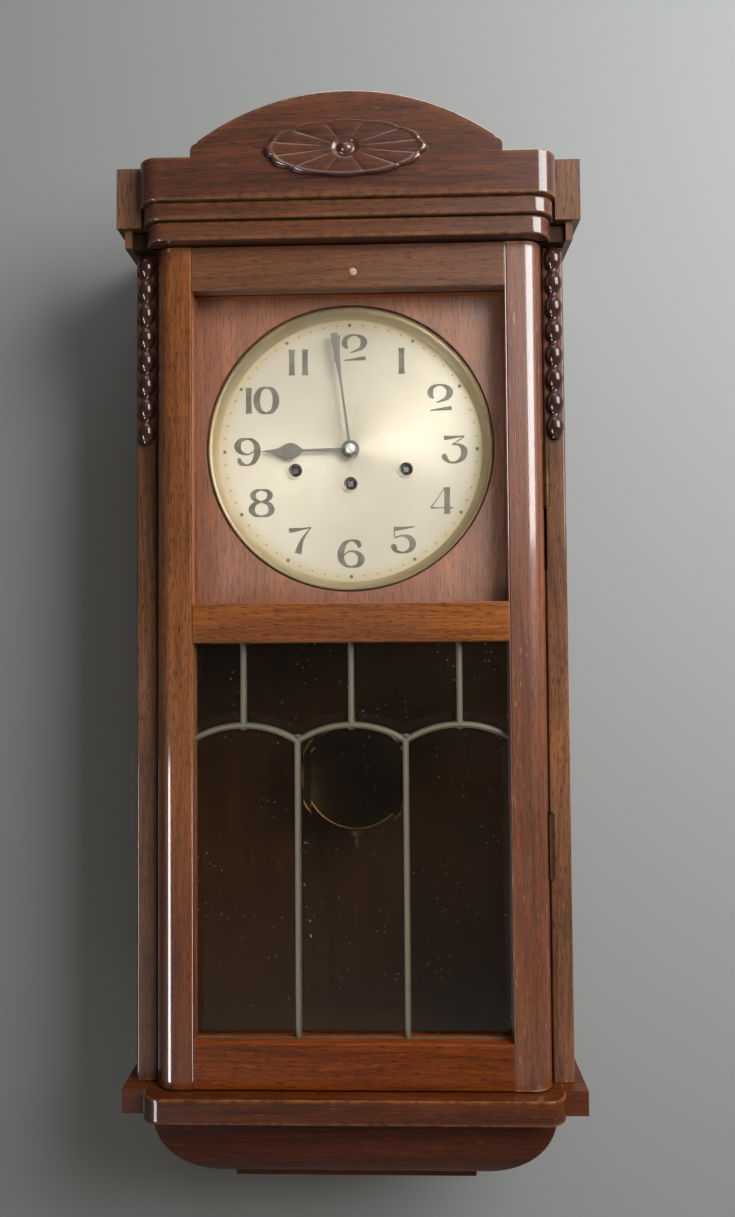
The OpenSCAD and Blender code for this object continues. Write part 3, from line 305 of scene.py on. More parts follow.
tone = blend_colour(wood, span(wood, drift, 0.35, 0.68, 0.0, 0.42), tone, given["Dark"])
tone = blend_colour(wood, times(wood, pores, 0.65), tone, (0.015, 0.008, 0.005, 1))
warmth = span(wood, noise(wood, grain, 13.0, 3.0, 0.55), 0.38, 0.62)
tone = scaled(wood, tone, blend_colour(wood, warmth, (0.94, 1.0, 1.28, 1), (1.08, 0.98, 0.68, 1)))
scuffs = span(wood, noise(wood, grain, 120.0, 5.0, 0.7), 0.38, 0.58)
flecks = span(wood, noise(wood, stretched(wood, grain, 60.0, 420.0), 1.0, 3.0, 0.6), 0.64, 0.74)
bare = maths(wood, "MAXIMUM", times(wood, given["Edge"], scuffs), times(wood, flecks, 0.7))
worn = times(wood, bare, given["Wear"], clamp=True)
dull = plus(wood, times(wood, span(wood, drift, 0.3, 0.7), 0.12), times(wood, worn, 0.3))
wire(wood, wood.nodes.new("NodeGroupOutput"), Color=blend_colour(wood, worn, tone, given["Rubbed"]),
     Roughness=plus(wood, given["Gloss"], dull, clamp=True),
     Height=maths(wood, "SUBTRACT", times(wood, streaks, 0.35), times(wood, pores, 0.6)))
print("wood group:", len(wood.nodes), "nodes")

# %% Turn the wood group into finishes
def linear(red, green, blue):
    """A screen colour of 0 to 255 as the scene-linear colour that a node wants."""
    share = np.array([red, green, blue]) / 255
    plain = np.where(share <= 0.04045, share / 12.92, ((share + 0.055) / 1.055) ** 2.4)
    return (*plain.tolist(), 1.0)


GRAIN_TURN = {"X": (0, 0, 0), "Z": (0, np.pi / 2, 0), "Y": (0, 0, -np.pi / 2)}


def finish_shell(name, slot, metallic=0.0, **plain):
    """A material with one Principled shader. Plain numbers go straight onto its sockets."""
    material = bpy.data.materials.new(name)
    material.use_nodes = True
    shader = material.node_tree.nodes["Principled BSDF"]
    shader.inputs["Metallic"].default_value = metallic
    for key, value in plain.items():
        shader.inputs[key.replace("_", " ")].default_value = value
    material["slot"] = slot
    return material, material.node_tree, shader


def wood_finish(name, slot, grain, light, dark, wear, gloss, coat, shine, shift, rubbed=(170, 112, 60),
                figure=1.0, shade_at_foot=None):
    """Wood whose grain runs along one axis. An optional share of each colour left at the clock's bottom
    darkens it downwards as painted shade.
    """
    material, tree, shader = finish_shell(name, slot, Coat_Weight=coat, Coat_Roughness=0.1, Coat_IOR=1.7,
                                          Specular_IOR_Level=shine)
    place = add(tree, "Mapping", Vector=object_place(tree), Location=(shift, shift * 0.7, shift * 1.3),
                Rotation=GRAIN_TURN[grain]).outputs[0]
    group = add(tree, "Group", {"node_tree": wood}, Along_grain=place, Light=linear(*light),
                Dark=linear(*dark), Rubbed=linear(*rubbed), Figure=figure, Wear=wear,
                Edge=rubbed_edge(tree), Gloss=gloss).outputs
    tone = group["Color"]
    # Painted shade: from 0.40 m to 0.56 m below the hanger the colour darkens towards the clock's bottom.
    if shade_at_foot is not None:
        height = add(tree, "SeparateXYZ", Vector=object_place(tree)).outputs[2]
        stain = blend_colour(tree, span(tree, height, -0.56, -0.40), (*shade_at_foot, 1), (1, 1, 1, 1))
        tone = scaled(tree, tone, stain)
    wire(tree, shader, Base_Color=tone, Roughness=group["Roughness"],
         Normal=bumps(tree, group["Height"], 0.25, 0.0004))
    return material


# Each board has its slot, grain, light and dark stain, wear, gloss, coat, shine and shift of the pattern.
WOODS = {
    "crest": ("crest_wood", "X", (104, 54, 32), (60, 28, 15), 0.35, 0.4, 0.6, 0.32, 0.0),
    "moulding": ("crest_wood", "X", (114, 64, 39), (70, 36, 20), 0.25, 0.44, 0.7, 0.3, 0.3),
    "top rail": ("door_wood", "X", (127, 77, 44), (81, 43, 22), 0.3, 0.46, 0.25, 0.4, 0.7),
    "bottom rail": ("door_wood", "X", (147, 70, 16), (84, 33, 7), 0.3, 0.4, 0.12, 0.12, 1.1),
    "middle rail": ("door_wood", "X", (166, 97, 50), (97, 52, 25), 0.3, 0.4, 0.25, 0.12, 1.5),
    "right stile": ("door_wood", "Z", (134, 71, 36), (86, 40, 18), 0.4, 0.38, 0.6, 0.7, 1.9),
    "left stile": ("door_wood", "Z", (166, 102, 56), (99, 54, 28), 0.35, 0.36, 0.7, 0.12, 2.3),
    "side": ("case_wood", "Z", (140, 92, 64), (78, 51, 38), 0.4, 0.4, 0.25, 0.12, 2.9),
    "plinth": ("case_wood", "X", (106, 50, 20), (60, 24, 8), 0.35, 0.36, 0.35, 0.08, 3.4),
    "cove": ("case_wood", "X", (112, 50, 22), (64, 26, 10), 0.3, 0.34, 0.02, 0.08, 3.9),
    "bead": ("case_wood", "Z", (78, 42, 34), (44, 24, 20), 0.3, 0.22, 0.5, 0.12, 4.2),
    "dial board": ("dial_board_wood", "Z", (134, 78, 52), (97, 51, 29), 0.1, 0.42, 0.1, 0.7, 4.6),
    "plug": ("pale_wood", "X", (208, 178, 150), (170, 138, 108), 0.1, 0.6, 0.0, 0.12, 4.9),
    # The returns' pale, greyish tone is partly a painted sheen of the window light.
    "return": ("case_wood", "Z", (128, 92, 76), (94, 64, 52), 0.3, 0.32, 0.4, 0.12, 3.1),
    "bare": ("pale_wood", "X", (176, 140, 98), (132, 98, 62), 0.1, 0.6, 0.0, 0.12, 5.0),
    # The inner boards' dark brown is their stain, darkened further as painted shade inside the case.
    "rear": ("case_wood", "Z", (68, 40, 23), (38, 22, 12), 0.2, 0.6, 0.0, 0.12, 5.5),
    "rod": ("pale_wood", "Z", (70, 48, 32), (44, 28, 18), 0.1, 0.5, 0.1, 0.12, 5.9),
}
# The left stile's entry darkens its colour towards the bottom as painted shade.
SPECIAL = {"right stile": {"rubbed": (214, 176, 140)}, "plinth": {"rubbed": (168, 108, 52)},
           "left stile": {"shade_at_foot": (0.66, 0.45, 0.32)}, "dial board": {"figure": 0.9}}
woods = {name: wood_finish(name + " wood", *row, **SPECIAL.get(name, {})) for name, row in WOODS.items()}
print("wood finishes:", len(woods))

# %% [markdown]
# ## Softened boards
# A cabinet maker breaks every edge of a board. A sharp box has no such edge, so it catches no light
# and looks like card. Each board here is its outline carried along the third direction, with a few
# rings near each end that draw in along a quarter circle. The rings also carry a number called edge,
# which the wood finish reads to show rubbed stain.

# %% Boards from outlines
def new_piece(name, points, faces, material, body, replaces=(), smooth_angle=0.6, edge=None):
    """Puts points and faces into a mesh object, fixes it to a CAD body and hides what it replaces."""
    mesh = bpy.data.meshes.new(name)
    mesh.from_pydata(np.asarray(points).reshape(-1, 3).tolist(), [], faces)
    mesh.update()
    mesh.shade_smooth()
    mesh.set_sharp_from_angle(angle=smooth_angle)
    if edge is not None:
        values = np.asarray(edge, np.float32).ravel()
        mesh.attributes.new("edge", "FLOAT", "POINT").data.foreach_set("value", values)
    mesh.materials.append(material)
    piece = bpy.data.objects.new(name, mesh)
    scene.collection.objects.link(piece)
    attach(piece, body)
    if replaces:
        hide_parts(*replaces)
    return piece


def grid_corners(rings, around, joined=False):
    """The four corners of each cell: its own, the next one round, and the same two on the next ring."""
    ring, place = np.meshgrid(np.arange(rings if joined else rings - 1), np.arange(around), indexing="ij")
    own, follow, beside = ring * around, (ring + 1) % rings * around, (place + 1) % around
    return own + place, own + beside, follow + beside, follow + place


def loop_faces(rings, around, start=0):
    """Quads between neighbouring closed rings of points, and one many-sided face on each end."""
    quads = np.stack(grid_corners(rings, around), -1).reshape(-1, 4)
    ends = np.stack([np.arange(around)[::-1], np.arange(around) + (rings - 1) * around])
    return (quads + start).tolist() + (ends + start).tolist()


def draw_in(outline, distance):
    """Moves each point of a closed outline inwards along the bisector of its two sides."""
    before, after = np.roll(outline, 1, 0), np.roll(outline, -1, 0)
    first = outline - before
    second = after - outline
    first /= np.linalg.norm(first, axis=1, keepdims=True) + 1e-12
    second /= np.linalg.norm(second, axis=1, keepdims=True) + 1e-12
    left = np.stack([-first[:, 1], first[:, 0]], -1) + np.stack([-second[:, 1], second[:, 0]], -1)
    length = np.maximum(np.linalg.norm(left, axis=1, keepdims=True), 0.8)
    return outline + left / length ** 2 * 2 * distance


DIRECTIONS = {"front": ((1, 0, 0), (0, 0, 1), (0, -1, 0)), "up": ((1, 0, 0), (0, 1, 0), (0, 0, 1)),
              "side": ((0, 1, 0), (0, 0, 1), (1, 0, 0))}


def board_points(outline, towards, near, far, soft, steps=3):
    """Rings of an outline from near to far. At each end they draw in by soft on a quarter circle."""
    across, along, out = (np.array(v, float) for v in DIRECTIONS[towards])
    turn = np.linspace(0, np.pi / 2, steps + 1)
    fall, rise = soft * (1 - np.sin(turn)), soft * (1 - np.cos(turn))
    inset = np.concatenate([[soft * 1.6], fall, [0.0, 0.0], rise, [soft * 1.6]])
    depth = np.concatenate([[near], near + rise, [near + soft * 3, far - soft * 3], far - fall, [far]])
    rubbed = np.concatenate([[0.0], np.ones(steps + 1), [0.0, 0.0], np.ones(steps + 1), [0.0]])
    flat = np.stack([draw_in(outline, d) for d in inset])
    rings = flat[..., :1] * across + flat[..., 1:] * along + depth[:, None, None] * out
    return rings, np.repeat(rubbed, len(outline))


def board(name, outline, towards, near, far, material, body, replaces, soft):
    """A board whose outline is carried along one direction, with softened ends."""
    outline = np.asarray(outline, float)
    rings, rubbed = board_points(outline, towards, near, far, soft)
    return new_piece(name, rings, loop_faces(len(rings), len(outline)), material, body, replaces, edge=rubbed)


def rounded(corners, radius, steps=4):
    """A closed outline with each corner swapped for an arc that starts and ends radius along its sides."""
    corners = np.asarray(corners, float)
    radius = np.broadcast_to(radius, len(corners))[:, None, None]
    before, after = np.roll(corners, 1, 0) - corners, np.roll(corners, -1, 0) - corners
    before /= np.linalg.norm(before, axis=1, keepdims=True)
    after /= np.linalg.norm(after, axis=1, keepdims=True)
    share = np.linspace(0, 1, steps + 1)[None, :, None]
    start, end = corners[:, None] + before[:, None] * radius, corners[:, None] + after[:, None] * radius
    arc = start * (1 - share) ** 2 + 2 * corners[:, None] * share * (1 - share) + end * share ** 2
    return arc.reshape(-1, 2)


def corner_box(node):
    """The lowest and highest corner of a CAD node as arrays."""
    low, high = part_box(node)
    return np.array(low), np.array(high)


def rectangle(low, high):
    """Four corners from the lowest pair of numbers to the highest."""
    return [(low[0], low[1]), (high[0], low[1]), (high[0], high[1]), (low[0], high[1])]


print("board tools ready")

# %% [markdown]
# ## Case sides, mouldings and base
# The mouldings and the plinth have round ends, so their outline is drawn as seen from above and
# carried upwards. The curved base is a quarter ellipse both from the front and from the side; it is
# found as rings that shrink as they go down.

# %% Sides and mouldings
def bow_outline(low, high, radius, steps=10):
    """A board's plan, seen from above, with round front corners. The front is at the lowest y."""
    turn = np.linspace(0, np.pi / 2, steps + 1)
    left = np.stack([low[0] + radius - radius * np.cos(turn), low[1] + radius - radius * np.sin(turn)], -1)
    right = np.stack([high[0] - radius + radius * np.sin(turn), low[1] + radius - radius * np.cos(turn)], -1)
    back = np.array([[high[0], high[1]], [low[0], high[1]]])
    return np.concatenate([left, right, back])


HINGE_Z = [(-518.0 * MM, -470.0 * MM), (-286.0 * MM, -238.0 * MM)]
LEAF_BACK_Y = -122 * MM
HAIR = 0.02 * MM


def upright_board(name, plan, material, body, node, notch=None, soft=0.8 * MM):
    """A board carried up its plan over the node's height. Beside a hinge, notch moves the plan's points."""
    low, high = corner_box(node)
    rings, rubbed = board_points(np.asarray(plan, float), "up", low[2], high[2], soft)
    if notch is not None:
        middle = len(rings) // 2
        extra = []
        for below, above in HINGE_Z:
            for z, cut in ((below - HAIR, False), (below, True), (above, True), (above + HAIR, False)):
                ring = rings[middle].copy()
                ring[:, 2] = z
                extra.append(notch(ring) if cut else ring)
        rings = np.concatenate([rings[:middle], extra, rings[middle:]])
        rubbed = np.insert(rubbed, middle * len(plan), np.zeros(len(extra) * len(plan)))
    return new_piece(name, rings, loop_faces(len(rings), len(plan)), material, body, [node], edge=rubbed)


def side_notch(ring):
    """Room in the right side for a hinge leaf 1 mm thick and 12 mm wide."""
    inner_face, leaf_bed = 152 * MM, 150.5 * MM
    leaf = (ring[:, 1] < LEAF_BACK_Y) & (ring[:, 0] < inner_face)
    ring[:, 0] = np.where(leaf, np.maximum(ring[:, 0], leaf_bed), ring[:, 0])
    return ring


SIDE_ROUNDS = [2 * MM, 2 * MM, 1.4 * MM, 1.4 * MM]
low, high = corner_box("left_side")
upright_board("case_side_left", rounded(rectangle(low, high), SIDE_ROUNDS), woods["side"], "case",
              "left_side")
low, high = corner_box("right_side")
leaf_edge = [(low[0], LEAF_BACK_Y + HAIR), (low[0], LEAF_BACK_Y - HAIR)]
upright_board("case_side_right", rounded(rectangle(low, high) + leaf_edge, SIDE_ROUNDS + [0, 0]),
              woods["side"], "case", "right_side", side_notch)

moulding_low, moulding_high = corner_box("cornice_mouldings")
step = 3.5 * MM
level = moulding_low[2] + 14 * MM
MOULD_R = 15.6 * MM
upper = bow_outline(moulding_low, moulding_high, MOULD_R)
lower_low, lower_high = moulding_low + [step / 2, step, 0], moulding_high - [step / 2, 0, 0]
lower = bow_outline(lower_low, lower_high, MOULD_R)
board("moulding_upper", upper, "up", level + 0.4 * MM, moulding_high[2] - 0.3 * MM, woods["moulding"], "case",
      ["cornice_mouldings"], 1.2 * MM)
board("moulding_lower", lower, "up", moulding_low[2], level, woods["moulding"], "case", (), 1.2 * MM)
plinth_low, plinth_high = corner_box("plinth_moulding")
board("plinth", bow_outline(plinth_low, plinth_high, MOULD_R), "up", plinth_low[2], plinth_high[2],
      woods["plinth"], "case", ["plinth_moulding"], 0.9 * MM)
print("mouldings at heights, mm:", np.round([moulding_low[2] / MM, level / MM, moulding_high[2] / MM], 1))

# %% Curved base
cove_low, cove_high = corner_box("base_cove")
reach_side, reach_front, base_round = 70 * MM, 32 * MM, 3 * MM
fall = np.linspace(0, np.pi / 2, 22)
z = cove_high[2] - (cove_high[2] - cove_low[2]) * np.sin(fall)
half = cove_high[0] - reach_side * (1 - np.cos(fall))
front = cove_low[1] + reach_front * (1 - np.cos(fall))
plans = [bow_outline((-h, f), (h, cove_high[1]), base_round, 7) for h, f in zip(half, front)]
rings = np.insert(np.stack(plans), 2, z[:, None], 2)[::-1]
new_piece("curved_base", rings, loop_faces(*rings.shape[:2]), woods["cove"], "case", ["base_cove"], 0.9)
print("base rings:", rings.shape)

# %% [markdown]
# ## Crest board
# The crest is a board with an arched top, flat shoulders and round ends. Its front is a sheet worked
# out over the width: at each step across, the section is a closed loop up the front, over the soft
# top edge and down the back, and the loops are joined from left to right.

# %% Crest board
crest_low, crest_high = corner_box("crest_board")


def crest_top(x):
    """Height of the top edge: an arc between two small round ears, and flat shoulders beyond."""
    arch_radius, half_arch, ear, shoulder = 188 * MM, 116 * MM, 6 * MM, crest_high[2] - 47.3 * MM
    arch = crest_high[2] - arch_radius + np.sqrt(np.maximum(arch_radius ** 2 - x ** 2, 0))
    beyond = np.maximum(np.abs(x) - (half_arch - ear), 0)
    centre = crest_high[2] - arch_radius + np.sqrt((arch_radius - ear) ** 2 - (half_arch - ear) ** 2)
    bend = centre + np.sqrt(np.maximum(ear ** 2 - beyond ** 2, 0))
    top = np.where(beyond > 0, bend, arch)
    return np.where(np.abs(x) > half_arch - 0.01 * MM, shoulder, np.maximum(top, shoulder))


def crest_loops(columns=260, rows=12, soft=1.0 * MM):
    """Closed sections of the crest from left to right."""
    half, round_r = crest_high[0], 15.7 * MM
    even = np.linspace(-half, half, columns)
    near_ear = np.append(110 + 5.95 * np.sin(np.linspace(0, np.pi / 2, 9)), 116)
    ears = np.concatenate([side * near_ear * MM for side in (-1, 1)])
    near_end = half - round_r * (1 - np.sin(np.linspace(0, np.pi / 2, 14)))
    x = np.unique(np.round(np.concatenate([even, ears, -near_end, near_end]), 7))
    top, bottom = crest_top(x)[:, None], crest_low[2]
    inwards = np.maximum(np.abs(x) - (half - round_r), 0)
    front = (crest_low[1] + round_r - np.sqrt(np.maximum(round_r ** 2 - inwards ** 2, 0)))[:, None]
    back = np.full_like(front, crest_high[1])
    turn = np.linspace(0, np.pi / 2, 4)
    soft = np.minimum(soft, (back - front) * 0.4)
    rise = np.linspace(0, 1, rows)[None, :]
    z = np.concatenate([bottom + soft * (1 - np.cos(turn)), bottom + soft + rise * (top - 2 * soft - bottom),
                        top - soft * (1 - np.sin(turn)), top, np.full_like(soft, bottom)], 1)
    y = np.concatenate([front + soft * (1 - np.sin(turn)), front + 0 * rise,
                        front + soft * (1 - np.cos(turn)), back, back], 1)
    edge = np.concatenate([np.ones(4), [0.6], np.zeros(rows - 2), [0.6], np.ones(4), [0, 0]])
    return np.stack([np.broadcast_to(x[:, None], y.shape), y, z], -1)[:, ::-1], np.tile(edge[::-1], len(x))


loops, rubbed = crest_loops()
new_piece("crest", loops, loop_faces(*loops.shape[:2]), woods["crest"], "case", ["crest_board"], edge=rubbed)
print("crest loops:", loops.shape, "top at mm", round(crest_high[2] / MM, 1))

# %% [markdown]
# ## Carved oval
# The oval is a low flower around a knob, with a thin raised rim and a lobed edge. It is one height map
# in polar form: radius and angle give the height, the lobes and the faint lines between the petals
# come from the cosine of the angle, and the knob is a small dome in a shallow dish.

# %% Carved oval
oval_low, oval_high = corner_box("patera")
PETALS, KNOB = 12, 4.7


def oval_sheet(rings=60, around=280):
    """Front surface of the oval over radius share r and angle a, closed by a flat back."""
    r = np.linspace(0, 1, rings)[1:, None]
    a = np.linspace(0, 2 * np.pi, around, endpoint=False)[None, :]
    lobe = np.abs(np.cos(PETALS * a / 2))
    half_x, half_z = 61 * MM, 21.5 * MM
    reach = r * (1 - 0.06 * (1 - lobe ** 0.7) * r ** 8)
    petal = 0.5 * lobe ** 0.5 * np.clip((r - 0.15) * 2, 0, 1)
    line = -0.22 * np.exp(-lobe ** 2 / 0.03) * np.clip((r - 0.25) * 3, 0, 1)
    rim = 0.75 * np.exp(-((r - 0.93) / 0.03) ** 2)
    height = (2.5 + petal + line + rim) * np.clip((1 - r) * 45, 0, 1) ** 0.5
    x = half_x * reach * np.cos(a)
    z = half_z * reach * np.sin(a)
    distance = np.sqrt((x / 1.25) ** 2 + z ** 2) / (4.6 * MM)
    height = height - 1.5 * np.exp(-((distance - 1.2) / 0.35) ** 2)
    knob = KNOB * np.sqrt(np.clip(1 - distance ** 2, 0, 1))
    height = np.maximum(height, knob)
    middle = (oval_low + oval_high) / 2
    front = np.stack([middle[0] + x, oval_high[1] - height * MM, middle[2] + z], -1)
    edge = np.clip(rim * 0.3 + (knob > 0) * 0.2, 0, 1) + 0 * a
    return front, np.broadcast_to(edge, x.shape), middle


sheet, rubbed, middle = oval_sheet()
rings, around = sheet.shape[:2]
own, beside, far, follow = grid_corners(rings, around)
quads = np.stack([own, follow, far, beside], -1).reshape(-1, 4)
turn, last = np.arange(around), (rings - 1) * around
hub, back = np.full(around, rings * around), np.full(around, rings * around + 1)
inner = np.stack([hub, turn, (turn + 1) % around], -1)
outer = np.stack([back, last + (turn + 1) % around, last + turn], -1)
knob_top = [middle[0], oval_high[1] - KNOB * MM, middle[2]]
points = np.concatenate([sheet.reshape(-1, 3), [knob_top, [middle[0], oval_high[1], middle[2]]]])
new_piece("carved_oval", points, quads.tolist() + inner.tolist() + outer.tolist(), woods["crest"], "case",
          ["patera"], smooth_angle=1.2, edge=np.concatenate([rubbed.ravel(), [0.5, 0]]))
print("oval points:", len(points))

# %% [markdown]
# ## Door frame
# Two stiles and three rails make the door. A stile's outer front edge is a large round, which is where
# the long highlights run. Stiles are carried upwards from their plan; rails are carried sideways from
# their section, and both have the rebate that holds the glass.

# %% Stiles and rails
LIP, REBATE = 10 * MM, 5 * MM


def stile_plan(low, high, radius=15 * MM):
    """Plan of a stile with its rounded outer edge at the left and its rebate at the right."""
    turn = np.linspace(0, np.pi / 2, 16)
    arc = np.stack([low[0] + radius * (1 - np.cos(turn)), low[1] + radius * (1 - np.sin(turn))], -1)
    inner = rounded([(high[0], low[1]), (high[0], low[1] + LIP), (high[0] - REBATE, low[1] + LIP),
                     (high[0] - REBATE, high[1]), (low[0], high[1])],
                     np.array([1.2, 0.3, 0.3, 0.5, 1.4]) * MM)
    hold = [[high[0] - 1.7 * MM, low[1]]]
    return np.concatenate([arc, hold, inner])


def stile_notch(ring):
    """Room in the right stile for a hinge's leaf and, further forward, for its knuckles."""
    leaf_front, leaf_bed = -136.5 * MM, 147 * MM
    knuckle_back, knuckle_front, knuckle_bed = -136.2 * MM, -141.8 * MM, 146.7 * MM
    leaf = (ring[:, 1] > leaf_front) & (ring[:, 0] > 140 * MM)
    knuckle = (ring[:, 1] < knuckle_back) & (ring[:, 1] > knuckle_front)
    ring[:, 0] = np.where(leaf, np.minimum(ring[:, 0], leaf_bed), ring[:, 0])
    ring[:, 0] = np.where(knuckle, np.minimum(ring[:, 0], knuckle_bed), ring[:, 0])
    return ring


low, high = corner_box("door_left_stile")
upright_board("stile_left", stile_plan(low, high), woods["left stile"], "door", "door_left_stile",
              soft=0.7 * MM)
low, high = corner_box("door_right_stile")
right_plan = stile_plan([-high[0], low[1]], [-low[0], high[1]])[::-1] * [-1, 1]
upright_board("stile_right", right_plan, woods["right stile"], "door", "door_right_stile", stile_notch,
              0.7 * MM)


def rail_section(low, high, cut_low, cut_high):
    """Section of a rail seen from the side, from its front face round to its back."""
    front, bottom, back, top = low[1], low[2], high[1], high[2]
    corners = [(front, top), (front, bottom)]
    if cut_low:
        corners += [(front + LIP, bottom), (front + LIP, bottom + REBATE), (back, bottom + REBATE)]
    else:
        corners += [(back, bottom)]
    if cut_high:
        corners += [(back, top - REBATE), (front + LIP, top - REBATE), (front + LIP, top)]
    else:
        corners += [(back, top)]
    return rounded(corners, [1.6 * MM, 1.6 * MM] + [0.3 * MM] * (len(corners) - 2))


for name, cut_low, cut_high in (("top", True, False), ("middle", True, True), ("bottom", False, True)):
    low, high = corner_box(f"door_{name}_rail")
    board("rail_" + name, rail_section(low, high, cut_low, cut_high), "side", low[0], high[0],
          woods[name + " rail"], "door", [f"door_{name}_rail"], 0.3 * MM)
print("door frame: two stiles, three rails")

# %% [markdown]
# ## Beaded half columns
# Each column is a half turning of eight beads. A lathe shape is a profile turned about an axis, so the
# radius depends only on the height: it swells like a barrel between two thin necks.

# %% Turn the beads
def turned(name, radius, height, place, axis, material, body, around, replaces=(), half=False,
           smooth_angle=1.2):
    """A profile of radius against height turned about an axis through place, whole or its front half."""
    a = np.linspace(-np.pi, 0, around) if half else np.linspace(0, 2 * np.pi, around, endpoint=False)
    across, along, out = (np.array(v, float) for v in DIRECTIONS[axis])
    circle = np.cos(a)[None, :, None] * across + np.sin(a)[None, :, None] * along
    rings = np.array(place) + radius[:, None, None] * circle + height[:, None, None] * out
    return new_piece(name, rings, loop_faces(len(rings), around), material, body, replaces, smooth_angle)


bead_low, bead_high = corner_box("bead_columns")
BEADS, BEAD_R, BEAD_X = 8, 6.8 * MM, 157.5 * MM
pitch = (bead_high[2] - bead_low[2]) / BEADS
t = np.linspace(0, 1, 15)[:-1]
swell = np.sin(np.pi * np.clip((t - 0.07) / 0.86, 0, 1)) ** 0.62
profile = np.append(np.tile(BEAD_R * (0.5 + 0.5 * swell), BEADS), BEAD_R * 0.5)
heights = np.append((np.arange(BEADS)[:, None] + t[None, :]).ravel(), BEADS) * pitch
for side, mark, node in (("left", -1, ["bead_columns"]), ("right", 1, ())):
    turned("beads_" + side, profile, heights, (mark * BEAD_X, bead_high[1], bead_low[2]), "up",
           woods["bead"], "case", 33, node, half=True, smooth_angle=1.4)
print("beads:", BEADS, "pitch mm", round(pitch / MM, 1))

# %% [markdown]
# ## Glass and lead
# The upper light is one clear pane with a little dust. The lower light is seven bevelled panes in lead
# came: three short columns above, three arches, and long columns below. Each came is a low rounded
# strip carried along its line, with blobs of solder where lines meet. Bevels are strips of each pane
# that slope down to its edge.

# %% Glass finishes
def glass_finish(name, slot, tint, rough, dust, through=1.0, specks=0.0):
    """Clear glass with a film of dust: rough patches, raised pale specks, and a duller skin on its bevels."""
    material, tree, shader = finish_shell(name, slot, IOR=1.45, Transmission_Weight=through)
    place = object_place(tree)
    film = span(tree, noise(tree, place, 14.0, 4.0, 0.6), 0.4, 0.75, rough, rough + dust)
    speck = round_spots(tree, place, 175.0, 0.06, 0.2)
    chosen = span(tree, noise(tree, place, 38.0, 3.0, 0.7), 0.48, 0.58)
    grit = times(tree, times(tree, speck, chosen), specks)
    dull = plus(tree, times(tree, rubbed_edge(tree), 0.05), times(tree, grit, 0.4))
    wave = bumps(tree, noise(tree, place, 30.0, 1.0), 0.04, 0.001)
    wire(tree, shader, Base_Color=blend_colour(tree, grit, linear(*tint), linear(176, 156, 126)),
         Roughness=plus(tree, film, dull), Normal=bumps(tree, grit, 0.5, 0.0004, Normal=wave))
    return material


clear_glass = glass_finish("clear glass", "clear_glass", (246, 250, 248), 0.02, 0.04)
bevel_glass = glass_finish("bevelled glass", "bevelled_glass", (214, 198, 168), 0.03, 0.05, 0.998, 0.8)

low, high = corner_box("upper_glass")
upper_pane = board("upper_pane", rounded(rectangle(low[::2], high[::2]), 1 * MM), "front", -high[1], -low[1],
                   clear_glass, "door", ["upper_glass"], 0.3 * MM)
upper_pane.visible_shadow = False
print("upper pane, mm:", np.round((high - low) / MM, 1))

# %% Lines of the leaded light
lead_low, lead_high = corner_box("lead_cames")
PANE_X = (lead_high[0] - lead_low[0]) / 6
ARCH_RISE = 12 * MM
CROWN = lead_high[2] - 67 * MM
SPRING = CROWN - ARCH_RISE
ARCH_R = (PANE_X ** 2 + ARCH_RISE ** 2) / (2 * ARCH_RISE)
lead_front = lead_low[1]


def arch_line(centre, points=25, drop=0.0, trim=0.0):
    """Points along one arch, low at both ends, drop below the came's own line."""
    x = np.linspace(-PANE_X + trim, PANE_X - trim, points)
    return np.stack([centre + x, CROWN - ARCH_R + np.sqrt((ARCH_R - drop) ** 2 - x ** 2)], -1)


came_lines = [arch_line(k * 2 * PANE_X) for k in (-1, 0, 1)]
came_lines += [np.array([(k * 2 * PANE_X, CROWN), (k * 2 * PANE_X, lead_high[2])]) for k in (-1, 0, 1)]
came_lines += [np.array([(k * PANE_X, lead_low[2]), (k * PANE_X, SPRING)]) for k in (-1, 1)]
print("arch crown and spring, mm:", np.round([CROWN / MM, SPRING / MM], 1))

# %% Lead came
def lead_finish():
    """Old lead: dull grey-green, brighter where it was rubbed, with a soft uneven skin."""
    material, tree, shader = finish_shell("old lead", "lead")
    place = object_place(tree)
    mottle = noise(tree, place, 260.0, 4.0, 0.65)
    stain = span(tree, noise(tree, place, 35.0, 2.0), 0.4, 0.7, 0.0, 0.5)
    tone = blend_colour(tree, span(tree, mottle, 0.35, 0.65), linear(52, 47, 36), linear(74, 67, 52))
    tone = blend_colour(tree, stain, tone, linear(88, 66, 44))
    tone = blend_colour(tree, times(tree, rubbed_edge(tree), 0.75), tone, linear(124, 115, 92))
    wire(tree, shader, Base_Color=tone, Roughness=span(tree, mottle, 0.3, 0.7, 0.42, 0.62),
         Normal=bumps(tree, mottle, 0.35, 0.0005))
    return material


lead = lead_finish()
CAME_W = 4.6 * MM


def leftwards(line):
    """A unit direction to the left of a line at each of its points."""
    ahead = np.gradient(line, axis=0)
    ahead /= np.linalg.norm(ahead, axis=1, keepdims=True) + 1e-9
    return np.stack([-ahead[:, 1], ahead[:, 0]], -1)


